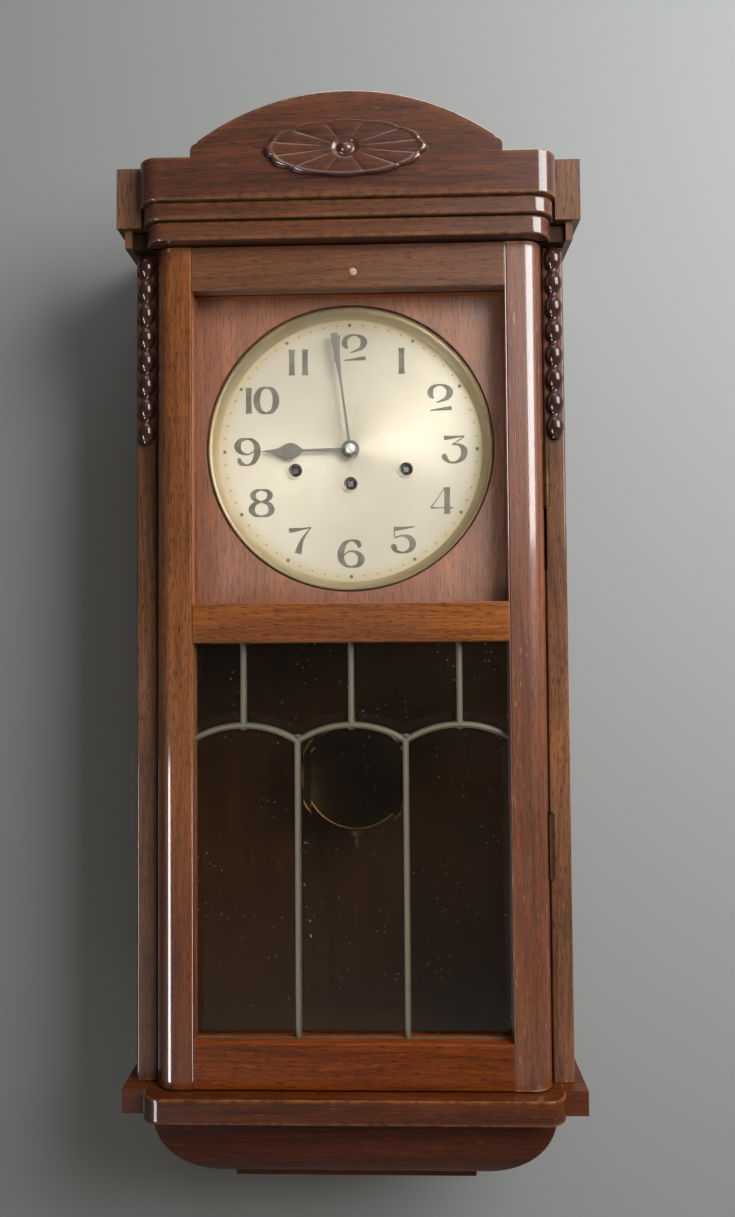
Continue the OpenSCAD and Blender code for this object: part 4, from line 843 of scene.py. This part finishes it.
def came(name, line, crown=0.9 * MM, replaces=()):
    """A low rounded strip over a line in the glass: flat flanges with a raised heart, front and back."""
    line = np.asarray(line, float)
    side = leftwards(line)
    across = np.array([-1, -0.94, -0.62, -0.45, -0.2, 0, 0.2, 0.45, 0.62, 0.94, 1])
    proud = np.array([0, 0.45, 0.55, 0.8, 1.0, 1.03, 1.0, 0.8, 0.55, 0.45, 0]) * crown
    rub = np.array([0, 0.1, 0.1, 0.5, 1, 1, 1, 0.5, 0.1, 0.1, 0])
    x = line[:, None, 0] + side[:, None, 0] * across * CAME_W / 2
    z = line[:, None, 1] + side[:, None, 1] * across * CAME_W / 2
    front = np.stack([x, np.broadcast_to(lead_front + 1.0 * MM - proud, x.shape), z], -1)
    rear = np.stack([x, np.broadcast_to(lead_front + 3.5 * MM + proud, x.shape), z], -1)[:, ::-1]
    rings = np.concatenate([front, rear], 1)
    return new_piece(name, rings, loop_faces(*rings.shape[:2]), lead, "door", replaces, 0.9,
                     np.tile(np.concatenate([rub, rub * 0]), len(line)))


for index, line in enumerate(came_lines):
    came(f"came_{index + 1}", line, replaces=() if index else ["lead_cames"])
inner_low, inner_high = lead_low + 2.5 * MM, lead_high - 2.5 * MM
border = [((x, lead_low[2]), (x, lead_high[2])) for x in (inner_low[0], inner_high[0])]
border += [((lead_low[0], z), (lead_high[0], z)) for z in (inner_low[2], inner_high[2])]
for index, line in enumerate(border):
    came(f"border_came_{index + 1}", line, crown=0.6 * MM)
joints = [(k * 2 * PANE_X, CROWN) for k in (-1, 0, 1)] + [(k * PANE_X, SPRING + 1.5 * MM) for k in (-1, 1)]
blob_radius = np.array([3.9, 3.7, 2.9, 1.6, 0.02]) * MM
blob_height = np.array([-1.0, -0.35, 0.05, 0.25, 0.3]) * MM
for index, (x, z) in enumerate(joints):
    turned(f"solder_{index + 1}", blob_radius, blob_height, (x, lead_front + 0.5 * MM, z), "front", lead,
           "door", 28)
print("cames:", len(came_lines) + len(border), "solder joints:", len(joints))

# %% Bevelled panes
def pane(name, outline, replaces=()):
    """A flat pane whose front slopes down over a bevel 5 mm wide to a thin edge."""
    outline = np.asarray(outline, float)
    front, back = lead_front + 1.05 * MM, lead_front + 3.45 * MM
    steps = ((0.3 * MM, back, 0), (0, back - 0.2 * MM, 0), (0, front + 1.2 * MM, 0.6),
             (3.2 * MM, front + 1.0 * MM, 0.6), (8.6 * MM, front + 0.1 * MM, 1.0),
             (9.0 * MM, front + 0.02 * MM, 1.0), (9.5 * MM, front, 0))
    flat = np.stack([draw_in(outline, inset) for inset, y, bevel in steps])
    depth = np.broadcast_to(np.array([y for inset, y, bevel in steps])[:, None], flat.shape[:2])
    rings = np.stack([flat[..., 0], depth, flat[..., 1]], -1)
    edge = np.repeat([bevel for inset, y, bevel in steps], len(outline))
    piece = new_piece(name, rings, loop_faces(len(rings), len(outline)), bevel_glass, "door", replaces, 0.02,
                      edge)
    piece.visible_shadow = False
    return piece


EDGE = 0.9 * MM
top_in, bottom_in = lead_high[2] - EDGE, lead_low[2] + EDGE
for k, column in enumerate((-1, 0, 1)):
    arch = arch_line(column * 2 * PANE_X, 17, drop=EDGE, trim=EDGE)
    feet = [[arch[0, 0], bottom_in], [arch[-1, 0], bottom_in]]
    pane(f"long_pane_{k + 1}", np.concatenate([arch[::-1], feet]), () if k else ["leaded_panes"])
for k in range(4):
    x0 = -3 * PANE_X + EDGE if k == 0 else (2 * k - 4) * PANE_X + EDGE
    x1 = 3 * PANE_X - EDGE if k == 3 else (2 * k - 2) * PANE_X - EDGE
    centres = [c for c in (-2, 0, 2) if abs((x0 + x1) / 2 / PANE_X - c) < 1.6]
    x = np.linspace(x0, x1, 19)
    reach = np.stack([np.abs(x - c * PANE_X) for c in centres])
    arcs = CROWN - ARCH_R + np.sqrt(np.maximum((ARCH_R + EDGE) ** 2 - reach ** 2, 0))
    floor_line = np.take_along_axis(arcs, reach.argmin(0)[None, :], 0)[0]
    pane(f"short_pane_{k + 1}", np.concatenate([np.stack([x, floor_line], -1), [[x1, top_in], [x0, top_in]]]))
print("panes: 3 long and 4 short")

# %% [markdown]
# ## Metals
# The metals share one group: a fine brushed or cast skin, stains that drift over the piece, and a
# brightness that returns where hands or cloths rubbed. Each metal gives it two colours and a
# roughness, and sets its own metallic value on the shader.

# %% Make the metal group
patina, given = open_group("patina", [
    ("Vector", "Place", None), ("Color", "Bright", (0.8, 0.6, 0.3, 1)),
    ("Color", "Stained", (0.3, 0.2, 0.1, 1)),
    ("Float", "Stain", 0.5), ("Float", "Rough", 0.3), ("Float", "Spots", 0.2)])
cloud = noise(patina, given["Place"], 22.0, 5.0, 0.62)
grit = noise(patina, given["Place"], 420.0, 2.0)
spotted = times(patina, given["Spots"], span(patina, cloud, 0.5, 0.6))
spotted = times(patina, round_spots(patina, given["Place"], 90.0, 0.10, 0.22), spotted)
clouded = times(patina, span(patina, cloud, 0.38, 0.68), given["Stain"], clamp=True)
cover = maths(patina, "MAXIMUM", clouded, spotted, clamp=True)
skin = blend_colour(patina, cover, given["Bright"], given["Stained"])
skin = blend_colour(patina, span(patina, grit, 0.4, 0.7, 0.0, 0.15), skin, (0.02, 0.015, 0.01, 1))
wire(patina, patina.nodes.new("NodeGroupOutput"), Color=skin, Height=grit,
     Roughness=plus(patina, given["Rough"], times(patina, cover, 0.25), clamp=True))


def metal_finish(name, slot, bright, stained, rough, metallic, stain):
    """A metal whose colour and roughness come from the patina group."""
    material, tree, shader = finish_shell(name, slot, metallic)
    group = add(tree, "Group", {"node_tree": patina}, Place=object_place(tree), Bright=linear(*bright),
                Stained=linear(*stained), Stain=stain, Rough=rough, Spots=0.2).outputs
    wire(tree, shader, Base_Color=group["Color"], Roughness=group["Roughness"],
         Normal=bumps(tree, group["Height"], 0.3, 0.00005))
    return material


# Each metal has its slot, bright and stained colour, roughness, metallic value and amount of stain.
METALS = {
    "aged brass": ("brass", (206, 166, 92), (110, 78, 40), 0.3, 1.0, 0.5),
    "pillar brass": ("polished_brass", (222, 184, 108), (150, 112, 60), 0.2, 1.0, 0.3),
    "tarnished brass": ("brass", (92, 70, 46), (52, 38, 26), 0.45, 1.0, 0.8),
    "old steel": ("steel", (176, 176, 178), (112, 104, 96), 0.28, 1.0, 0.5),
    "hand steel": ("dark_steel", (112, 106, 97), (82, 76, 68), 0.42, 0.4, 0.5),
    "worn steel": ("steel", (116, 110, 98), (74, 68, 58), 0.4, 1.0, 0.5),
    "nut steel": ("steel", (214, 212, 206), (150, 144, 134), 0.25, 0.4, 0.5),
    "chime metal": ("chime_metal", (84, 74, 60), (52, 44, 36), 0.45, 0.7, 0.5),
    # The bob's near-black brass is a painted reflection of the dark case that it mirrors.
    "bob brass": ("bob_metal", (40, 32, 23), (24, 19, 13), 0.16, 0.95, 0.55),
    "bob rim brass": ("bob_metal", (150, 130, 94), (104, 86, 58), 0.35, 1.0, 0.4),
}
metals = {name: metal_finish(name, *row) for name, row in METALS.items()}
print("metal finishes:", len(metals))

# %% [markdown]
# ## Dial
# The dial is a brushed silvered disc. Its numerals are upright in a broad-and-thin painted style: each
# stroke is a ribbon whose width changes along its centre line. They lie a hair above the disc, like
# thick paint. Dots mark the minutes, with a larger one at each hour.

# %% Silvered disc
dial_low, dial_high = corner_box("dial_plate")
hub_x, hub_z = 0.0, (dial_low[2] + dial_high[2]) / 2
DIAL_Y = -117.5 * MM
WINDING = np.array([(0.0, -26.505), (-43.6, -15.5), (43.6, -15.5)]) * MM


def from_dial_centre(tree):
    """The place on the dial, and its distance from the dial's centre."""
    place = add(tree, "Mapping", Vector=object_place(tree), Location=(0, 0, -hub_z)).outputs[0]
    parts = add(tree, "SeparateXYZ", Vector=place).outputs
    flat = add(tree, "CombineXYZ", X=parts[0], Y=0.0, Z=parts[2]).outputs[0]
    return place, add(tree, "VectorMath", {"operation": "LENGTH"}, _0=flat).outputs["Value"]


def silver_finish():
    """Silvering brushed in circles: soft, bright along the brush's sweep, yellowed with age, and tinted brass
    near its edge as a painted reflection of the ring.
    """
    material, tree, shader = finish_shell("silvered dial", "silvered_brass", metallic=0.32, Anisotropic=0.85,
                                          Anisotropic_Rotation=0.25)
    place, reach = from_dial_centre(tree)
    brushed = add(tree, "TexNoise", {"noise_dimensions": "1D"}, W=times(tree, reach, 2600.0),
                  Detail=3.0).outputs["Fac"]
    age = noise(tree, place, 16.0, 5.0, 0.6)
    # Painted reflection: the outer band of the dial is tinted towards the brass of the ring beside it.
    rim = times(tree, span(tree, reach, 0.094, 0.103), 0.7)
    tone = blend_colour(tree, span(tree, age, 0.35, 0.7), linear(189, 177, 162), linear(177, 164, 146))
    tone = blend_colour(tree, rim, tone, linear(176, 156, 116))
    tone = blend_colour(tree, span(tree, brushed, 0.3, 0.7, 0.0, 0.12), tone, linear(170, 160, 140))
    wire(tree, shader, Base_Color=tone, Roughness=span(tree, age, 0.3, 0.7, 0.34, 0.42),
         Normal=bumps(tree, brushed, 0.12, 0.0001),
         Tangent=add(tree, "Tangent", {"direction_type": "RADIAL", "axis": "Y"}).outputs[0])
    return material


def ring_finish():
    """The dial ring's thin brass: pale where its slope meets the dial and dark brown towards its outer edge,
    where the dark brown is painted shade and a painted reflection of the wood around it.
    """
    material, tree, shader = finish_shell("ring brass", "dial_ring_brass", metallic=0.6)
    place, reach = from_dial_centre(tree)
    stain = noise(tree, place, 22.0, 4.0, 0.6)
    # Painted shade and reflection: the brass turns dark brown towards its outer edge beside the dial board.
    tone = blend_colour(tree, span(tree, reach, 0.1032, 0.1112), linear(164, 150, 124), linear(94, 74, 48))
    tone = blend_colour(tree, span(tree, stain, 0.4, 0.7, 0.0, 0.6), tone, linear(132, 104, 60))
    wire(tree, shader, Base_Color=tone, Roughness=span(tree, stain, 0.3, 0.7, 0.36, 0.5))
    return material


silver = silver_finish()
ring_brass = ring_finish()
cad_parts["dial_plate"].data.materials[0] = silver
bezel_radius = np.array([103.6, 103.6, 104.3, 105.1, 106.7, 108.2, 109.4, 110.2, 110.8, 111.2, 111.3,
                         111.3]) * MM
bezel_height = np.array([0.0, 0.7, 1.5, 3.2, 6.6, 8.7, 9.35, 9.5, 9.3, 8.6, 7.4, 0.0]) * MM


def open_ring(name, radius, height, place, material, body, around=200, replaces=()):
    """A closed section of radius and height turned once round a front-facing axis, like a bezel."""
    a = np.linspace(0, 2 * np.pi, around, endpoint=False)[:, None]
    x, z = place[0] + np.cos(a) * radius, place[2] + np.sin(a) * radius
    rings = np.stack([x, place[1] - np.broadcast_to(height, x.shape), z], -1)
    quads = np.stack(grid_corners(around, len(radius), joined=True), -1).reshape(-1, 4)
    return new_piece(name, rings, quads.tolist(), material, body, replaces, 0.7)


open_ring("bezel", bezel_radius, bezel_height, (hub_x, DIAL_Y, hub_z), ring_brass, "case",
          replaces=["dial_ring"])
print("dial face at y mm:", round(DIAL_Y / MM, 2), "centre height mm:", round(hub_z / MM, 2))

# %% Winding holes
cup_radius = np.array([3.9, 3.9, 4.9, 5.2, 5.4, 5.9, 6.2, 6.4, 6.4, 5.3, 5.3]) * MM
cup_height = np.array([-2.2, -1.3, -1.1, 0.1, 0.7, 0.8, 0.7, 0.4, 0.02, 0.02, -2.2]) * MM
for index, (x, z) in enumerate(WINDING):
    open_ring(f"collet_{index + 1}", cup_radius, cup_height, (x, DIAL_Y, hub_z + z), metals["worn steel"],
              "case", 72)
print("three winding collets")

# %% Numerals as ribbons
def paint_finish():
    """The numerals' thin dark paint, faded in patches."""
    material, tree, shader = finish_shell("numeral paint", "silvered_brass", Coat_Weight=0.1)
    fade = noise(tree, object_place(tree), 95.0, 4.0, 0.6)
    wire(tree, shader, Roughness=span(tree, fade, 0.3, 0.7, 0.42, 0.6),
         Base_Color=blend_colour(tree, span(tree, fade, 0.4, 0.66), linear(76, 70, 60), linear(104, 96, 83)))
    return material


numeral_paint = paint_finish()


def smooth_line(knots, steps=10):
    """A soft curve through knots of (x, z, width): cubic pieces whose slopes come from the neighbours."""
    knots = np.asarray(knots, float)
    padded = np.concatenate([2 * knots[:1] - knots[1:2], knots, 2 * knots[-1:] - knots[-2:-1]])
    t = np.linspace(0, 1, steps, endpoint=False)[None, :, None]
    a, b, c, d = (padded[k:len(padded) - 3 + k, None] for k in range(4))
    square, cube = 2 * a - 5 * b + 4 * c - d, 3 * b - a - 3 * c + d
    curve = 0.5 * (2 * b + (c - a) * t + square * t ** 2 + cube * t ** 3)
    return np.concatenate([curve.reshape(-1, 3), knots[-1:]])


def ribbon(line):
    """Left and right sides of a stroke whose width changes along its centre line."""
    side = leftwards(line[:, :2]) * line[:, 2:3] / 2
    return line[:, :2] + side, line[:, :2] - side


DIGITS = {
    "0": (92, [
        [(50, 100, 8), (26, 92, 18), (11, 66, 27), (11, 34, 27), (26, 8, 18), (50, 0, 8)],
        [(50, 100, 8), (74, 92, 18), (89, 66, 27), (89, 34, 27), (74, 8, 18), (50, 0, 8)]]),
    "1": (26, [
        [(13, 100, 28), (13, 84, 24), (13, 50, 23), (13, 16, 24), (13, 0, 28)]]),
    "2": (98, [
        [(22, 48, 8), (9, 66, 24), (18, 90, 17), (50, 100, 8), (80, 90, 18), (91, 72, 29), (80, 50, 20),
         (54, 38, 9), (34, 32, 5)],
        [(8, 2, 5), (40, 5, 9), (72, 8, 15), (98, 10, 17)]]),
    "3": (98, [
        [(6, 93, 20), (30, 94, 16), (60, 97, 9), (92, 99, 6)],
        [(92, 98, 5), (66, 82, 5), (40, 68, 5)],
        [(40, 68, 6), (70, 66, 12), (90, 46, 27), (84, 18, 24), (56, 0, 10), (26, 2, 12), (8, 20, 24),
         (10, 32, 12)]]),
    "4": (92, [
        [(72, 102, 25), (72, 50, 23), (72, 0, 26)],
        [(60, 98, 4), (34, 62, 4), (4, 26, 6)],
        [(4, 24, 9), (46, 24, 4), (96, 24, 9)]]),
    "5": (98, [
        [(10, 90, 19), (34, 91, 15), (64, 94, 9), (98, 98, 5)],
        [(12, 88, 5), (12, 74, 5), (14, 56, 5)],
        [(14, 56, 6), (44, 64, 8), (76, 56, 20), (89, 34, 28), (78, 10, 19), (48, 0, 8), (20, 6, 15),
         (10, 22, 25), (12, 32, 14)]]),
    "6": (108, [
        [(90, 74, 14), (82, 92, 20), (56, 101, 8), (28, 90, 18), (11, 58, 28), (13, 26, 25), (32, 5, 14),
         (54, 0, 8)],
        [(54, 0, 8), (82, 6, 18), (96, 28, 29), (84, 50, 18), (56, 60, 8), (34, 54, 6), (22, 42, 5)]]),
    "7": (92, [
        [(2, 88, 19), (26, 90, 18), (60, 94, 9), (96, 99, 6)],
        [(94, 97, 5), (74, 74, 8), (54, 44, 16), (40, 0, 30)]]),
    "8": (98, [
        [(48, 55, 6), (24, 62, 16), (13, 80, 24), (26, 96, 15), (48, 101, 6)],
        [(48, 101, 6), (74, 96, 15), (86, 80, 24), (74, 62, 16), (48, 55, 6)],
        [(48, 55, 6), (20, 46, 18), (8, 25, 27), (22, 5, 17), (48, -1, 7)],
        [(48, -1, 7), (78, 5, 17), (92, 25, 27), (80, 46, 18), (48, 55, 6)]]),
    "9": (102, [
        [(14, 26, 14), (22, 8, 20), (48, -1, 8), (76, 10, 18), (92, 42, 28), (90, 74, 25), (72, 95, 14),
         (50, 100, 8)],
        [(50, 100, 8), (22, 94, 18), (9, 72, 29), (20, 50, 18), (48, 40, 8), (70, 46, 6), (82, 58, 5)]]),
}
UNIT_W, NUMERAL_H, NUMERAL_R = 0.187 * MM, 0.207 * MM, 81.6 * MM
GAPS = {"10": 2.2 * MM, "11": 5.6 * MM, "12": 1.8 * MM}


def numeral_mesh(name, text, centre):
    """All strokes of an hour number as thin closed ribbons lying just above the dial."""
    widths = np.array([DIGITS[c][0] for c in text]) * UNIT_W
    starts = np.concatenate([[0], np.cumsum(widths + GAPS.get(text, 0))[:-1]])
    total = starts[-1] + widths[-1]
    points, faces = [], []
    for glyph, start in zip(text, starts):
        for number, stroke in enumerate(DIGITS[glyph][1]):
            left, right = ribbon(smooth_line(stroke) * [UNIT_W, NUMERAL_H, UNIT_W])
            low_y, high_y = DIAL_Y + 0.02 * MM, DIAL_Y - (0.10 + 0.012 * number) * MM
            around = np.stack([np.insert(left, 1, low_y, 1), np.insert(right, 1, low_y, 1),
                               np.insert(right, 1, high_y, 1), np.insert(left, 1, high_y, 1)], 1)
            around[..., 0] += centre[0] - total / 2 + start
            around[..., 2] += centre[1] - NUMERAL_H * 50
            faces += loop_faces(len(around), 4, start=sum(len(p) for p in points))
            points.append(around.reshape(-1, 3))
    return new_piece(name, np.concatenate(points), faces, numeral_paint, "case", smooth_angle=0.5)


for hour in range(1, 13):
    a = np.radians(90 - 30 * hour)
    numeral_mesh(f"numeral_{hour}", str(hour), (hub_x + NUMERAL_R * np.cos(a), hub_z + NUMERAL_R * np.sin(a)))
print("numerals 1 to 12, mm high:", NUMERAL_H * 100 / MM)

# %% Minute dots
def dot_mesh(name, minutes, radius, reach=99.6 * MM, around=14):
    """Low round dots at the given minutes, each a closed disc of a few faces."""
    a = np.radians(90 - 6 * np.asarray(minutes, float))
    ring = np.linspace(0, 2 * np.pi, around, endpoint=False)
    centre = np.stack([hub_x + reach * np.cos(a), hub_z + reach * np.sin(a)], -1)
    x = centre[:, None, 0] + radius * np.cos(ring)
    z = centre[:, None, 1] + radius * np.sin(ring)
    low_ring = np.stack([x, np.full_like(x, DIAL_Y + 0.02 * MM), z], -1)
    top_ring = np.stack([x, np.full_like(x, DIAL_Y - 0.1 * MM), z], -1)
    points = np.stack([low_ring, top_ring], 1).reshape(-1, 3)
    faces = [face for k in range(len(a)) for face in loop_faces(2, around, start=k * 2 * around)]
    return new_piece(name, points, faces, numeral_paint, "case", smooth_angle=0.5)


dot_mesh("hour_dots", np.arange(0, 60, 5), 1.4 * MM)
dot_mesh("minute_dots", [m for m in range(60) if m % 5], 0.6 * MM)
print("dots: 12 large, 48 small")

# %% Hands and nut
HOUR, MINUTE = 8, 58.75
HAND_THICK = 0.9 * MM
HOUR_SHAPE = [(0, 1.5), (0.30, 1.25), (0.50, 1.0), (0.535, 1.3), (0.56, 2.9), (0.60, 5.0), (0.64, 6.2),
              (0.68, 6.3), (0.72, 5.4), (0.76, 3.9), (0.80, 2.3), (0.85, 1.4), (0.92, 0.9), (1.0, 0.0)]
MINUTE_SHAPE = [(0, 1.15), (0.3, 1.0), (0.55, 0.9), (0.62, 1.1), (0.70, 1.7), (0.78, 2.2), (0.88, 2.6),
                (0.97, 2.8), (0.995, 2.5), (1.0, 2.1)]


def flat_hand(name, node, body, shape, reach, hub, angle):
    """A hand cut from sheet. Its shape pairs a share of its reach with a half width in mm, mirrored below,
    closed by a round hub and turned to its angle."""
    along, half = np.array(shape).T * np.array([[reach], [MM]])
    neck = np.arcsin(half[0] / hub)
    spread = np.linspace(neck, 2 * np.pi - neck, 40)
    circle = np.stack([hub * np.cos(spread), hub * np.sin(spread)], -1)
    lower = np.stack([along, -half], -1)[along > hub]
    upper = lower[::-1] * [1, -1]
    pointed = half[-1] < 1e-5
    x, z = np.concatenate([lower, upper[1:] if pointed else upper, circle]).T
    a = np.radians(angle)
    outline = np.stack([x * np.cos(a) - z * np.sin(a) + hub_x, x * np.sin(a) + z * np.cos(a) + hub_z], -1)
    back = corner_box(node)[1][1]
    board(name, outline, "front", -back - HAND_THICK * 0.02, -back + HAND_THICK, metals["hand steel"], body,
          [node], 0.16 * MM)


flat_hand("hour_hand_cut", "hour_hand", "hour", HOUR_SHAPE, 70.5 * MM, 7.2 * MM,
          90 - 30 * (HOUR + MINUTE / 60))
flat_hand("minute_hand_cut", "minute_hand", "centre", MINUTE_SHAPE, 92 * MM, 4.8 * MM, 90 - 6 * MINUTE)
nut_back = corner_box("hand_nut")[1][1]
nut_radius = np.array([3.9, 3.9, 3.7, 3.1, 2.3, 1.2, 0.05]) * MM
nut_height = np.array([0, 0.7, 1.25, 1.8, 2.25, 2.52, 2.6]) * MM
turned("nut", nut_radius, nut_height, (hub_x, nut_back, hub_z), "front", metals["nut steel"], "centre", 48,
       ["hand_nut"], smooth_angle=1.0)
print("hands show:", HOUR, "hours", MINUTE, "minutes")

# %% [markdown]
# ## Pendulum bob
# The bob is a polished lens of thin brass with a rolled rim. Its front is a shallow dome: the height
# falls with the square of the radius, and a small bead runs round the edge.

# %% Pendulum bob
bob_low, bob_high = corner_box("pendulum_bob")
bob_middle = (bob_low + bob_high) / 2
share = np.linspace(0.0, 0.955, 30)
dome = 7.4 * (1 - 0.72 * share ** 2) * MM
radius = np.maximum(share * 45, 0.05) * MM
turned("bob", np.concatenate([radius, radius[::-1]]), np.concatenate([-dome, dome[::-1]]), bob_middle,
       "front", metals["bob brass"], "pendulum", 120, ["pendulum_bob"], smooth_angle=0.8)
a = np.linspace(0, 2 * np.pi, 16, endpoint=False)
open_ring("bob_rim", (43.4 + 1.55 * np.cos(a)) * MM, 2.6 * np.sin(a) * MM, bob_middle,
          metals["bob rim brass"], "pendulum", 120)
print("bob centre mm:", np.round(bob_middle / MM, 1))

# %% [markdown]
# ## CAD pieces that stay as they are
# The inner boards, the movement, the hinges and the chime rods keep their CAD shape and only need a
# finish of their own.

# %% Finish the remaining CAD nodes
FINISHES = (
    (woods["return"], ["cornice_returns"]),
    (woods["plinth"], ["plinth_returns"]),
    (woods["cove"], ["base_pad"]),
    (woods["rear"], ["back_board", "top_board", "bottom_board"]),
    (woods["bare"], ["inner_cleats", "seat_board"]),
    (woods["plug"], ["rail_plug"]),
    (woods["rod"], ["pendulum_rod"]),
    (woods["dial board"], ["dial_board"]),
    (woods["bottom rail"], ["glazing_beads"]),
    (metals["tarnished brass"], ["hinge_case_leaves", "hinge_door_leaves"]),
    (metals["pillar brass"], ["movement_pillars"]),
    (metals["chime metal"], ["gong_rods"]),
    (metals["aged brass"], ["hanger_plate", "front_plate", "back_plate", "rear_cocks", "going_barrel",
                            "strike_barrel", "chime_barrel", "centre_wheel", "third_wheel", "escape_wheel",
                            "minute_wheel", "hour_wheel", "strike_wheel", "chime_wheel"]),
    (metals["old steel"], ["anchor"] + [f"winding_arbor_{train}" for train in ("going", "strike", "chime")]
     + [f"hammer_{number}" for number in range(1, 5)]),
)
for material, names in FINISHES:
    for name in names:
        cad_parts[name].data.materials[0] = material
shown = [o.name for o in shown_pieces()]
print("pieces shown:", len(shown))

# %% [markdown]
# ## Last scene update
# The last step updates the view layer, so that every object's place is current.

# %% Update the scene
bpy.context.view_layer.update()
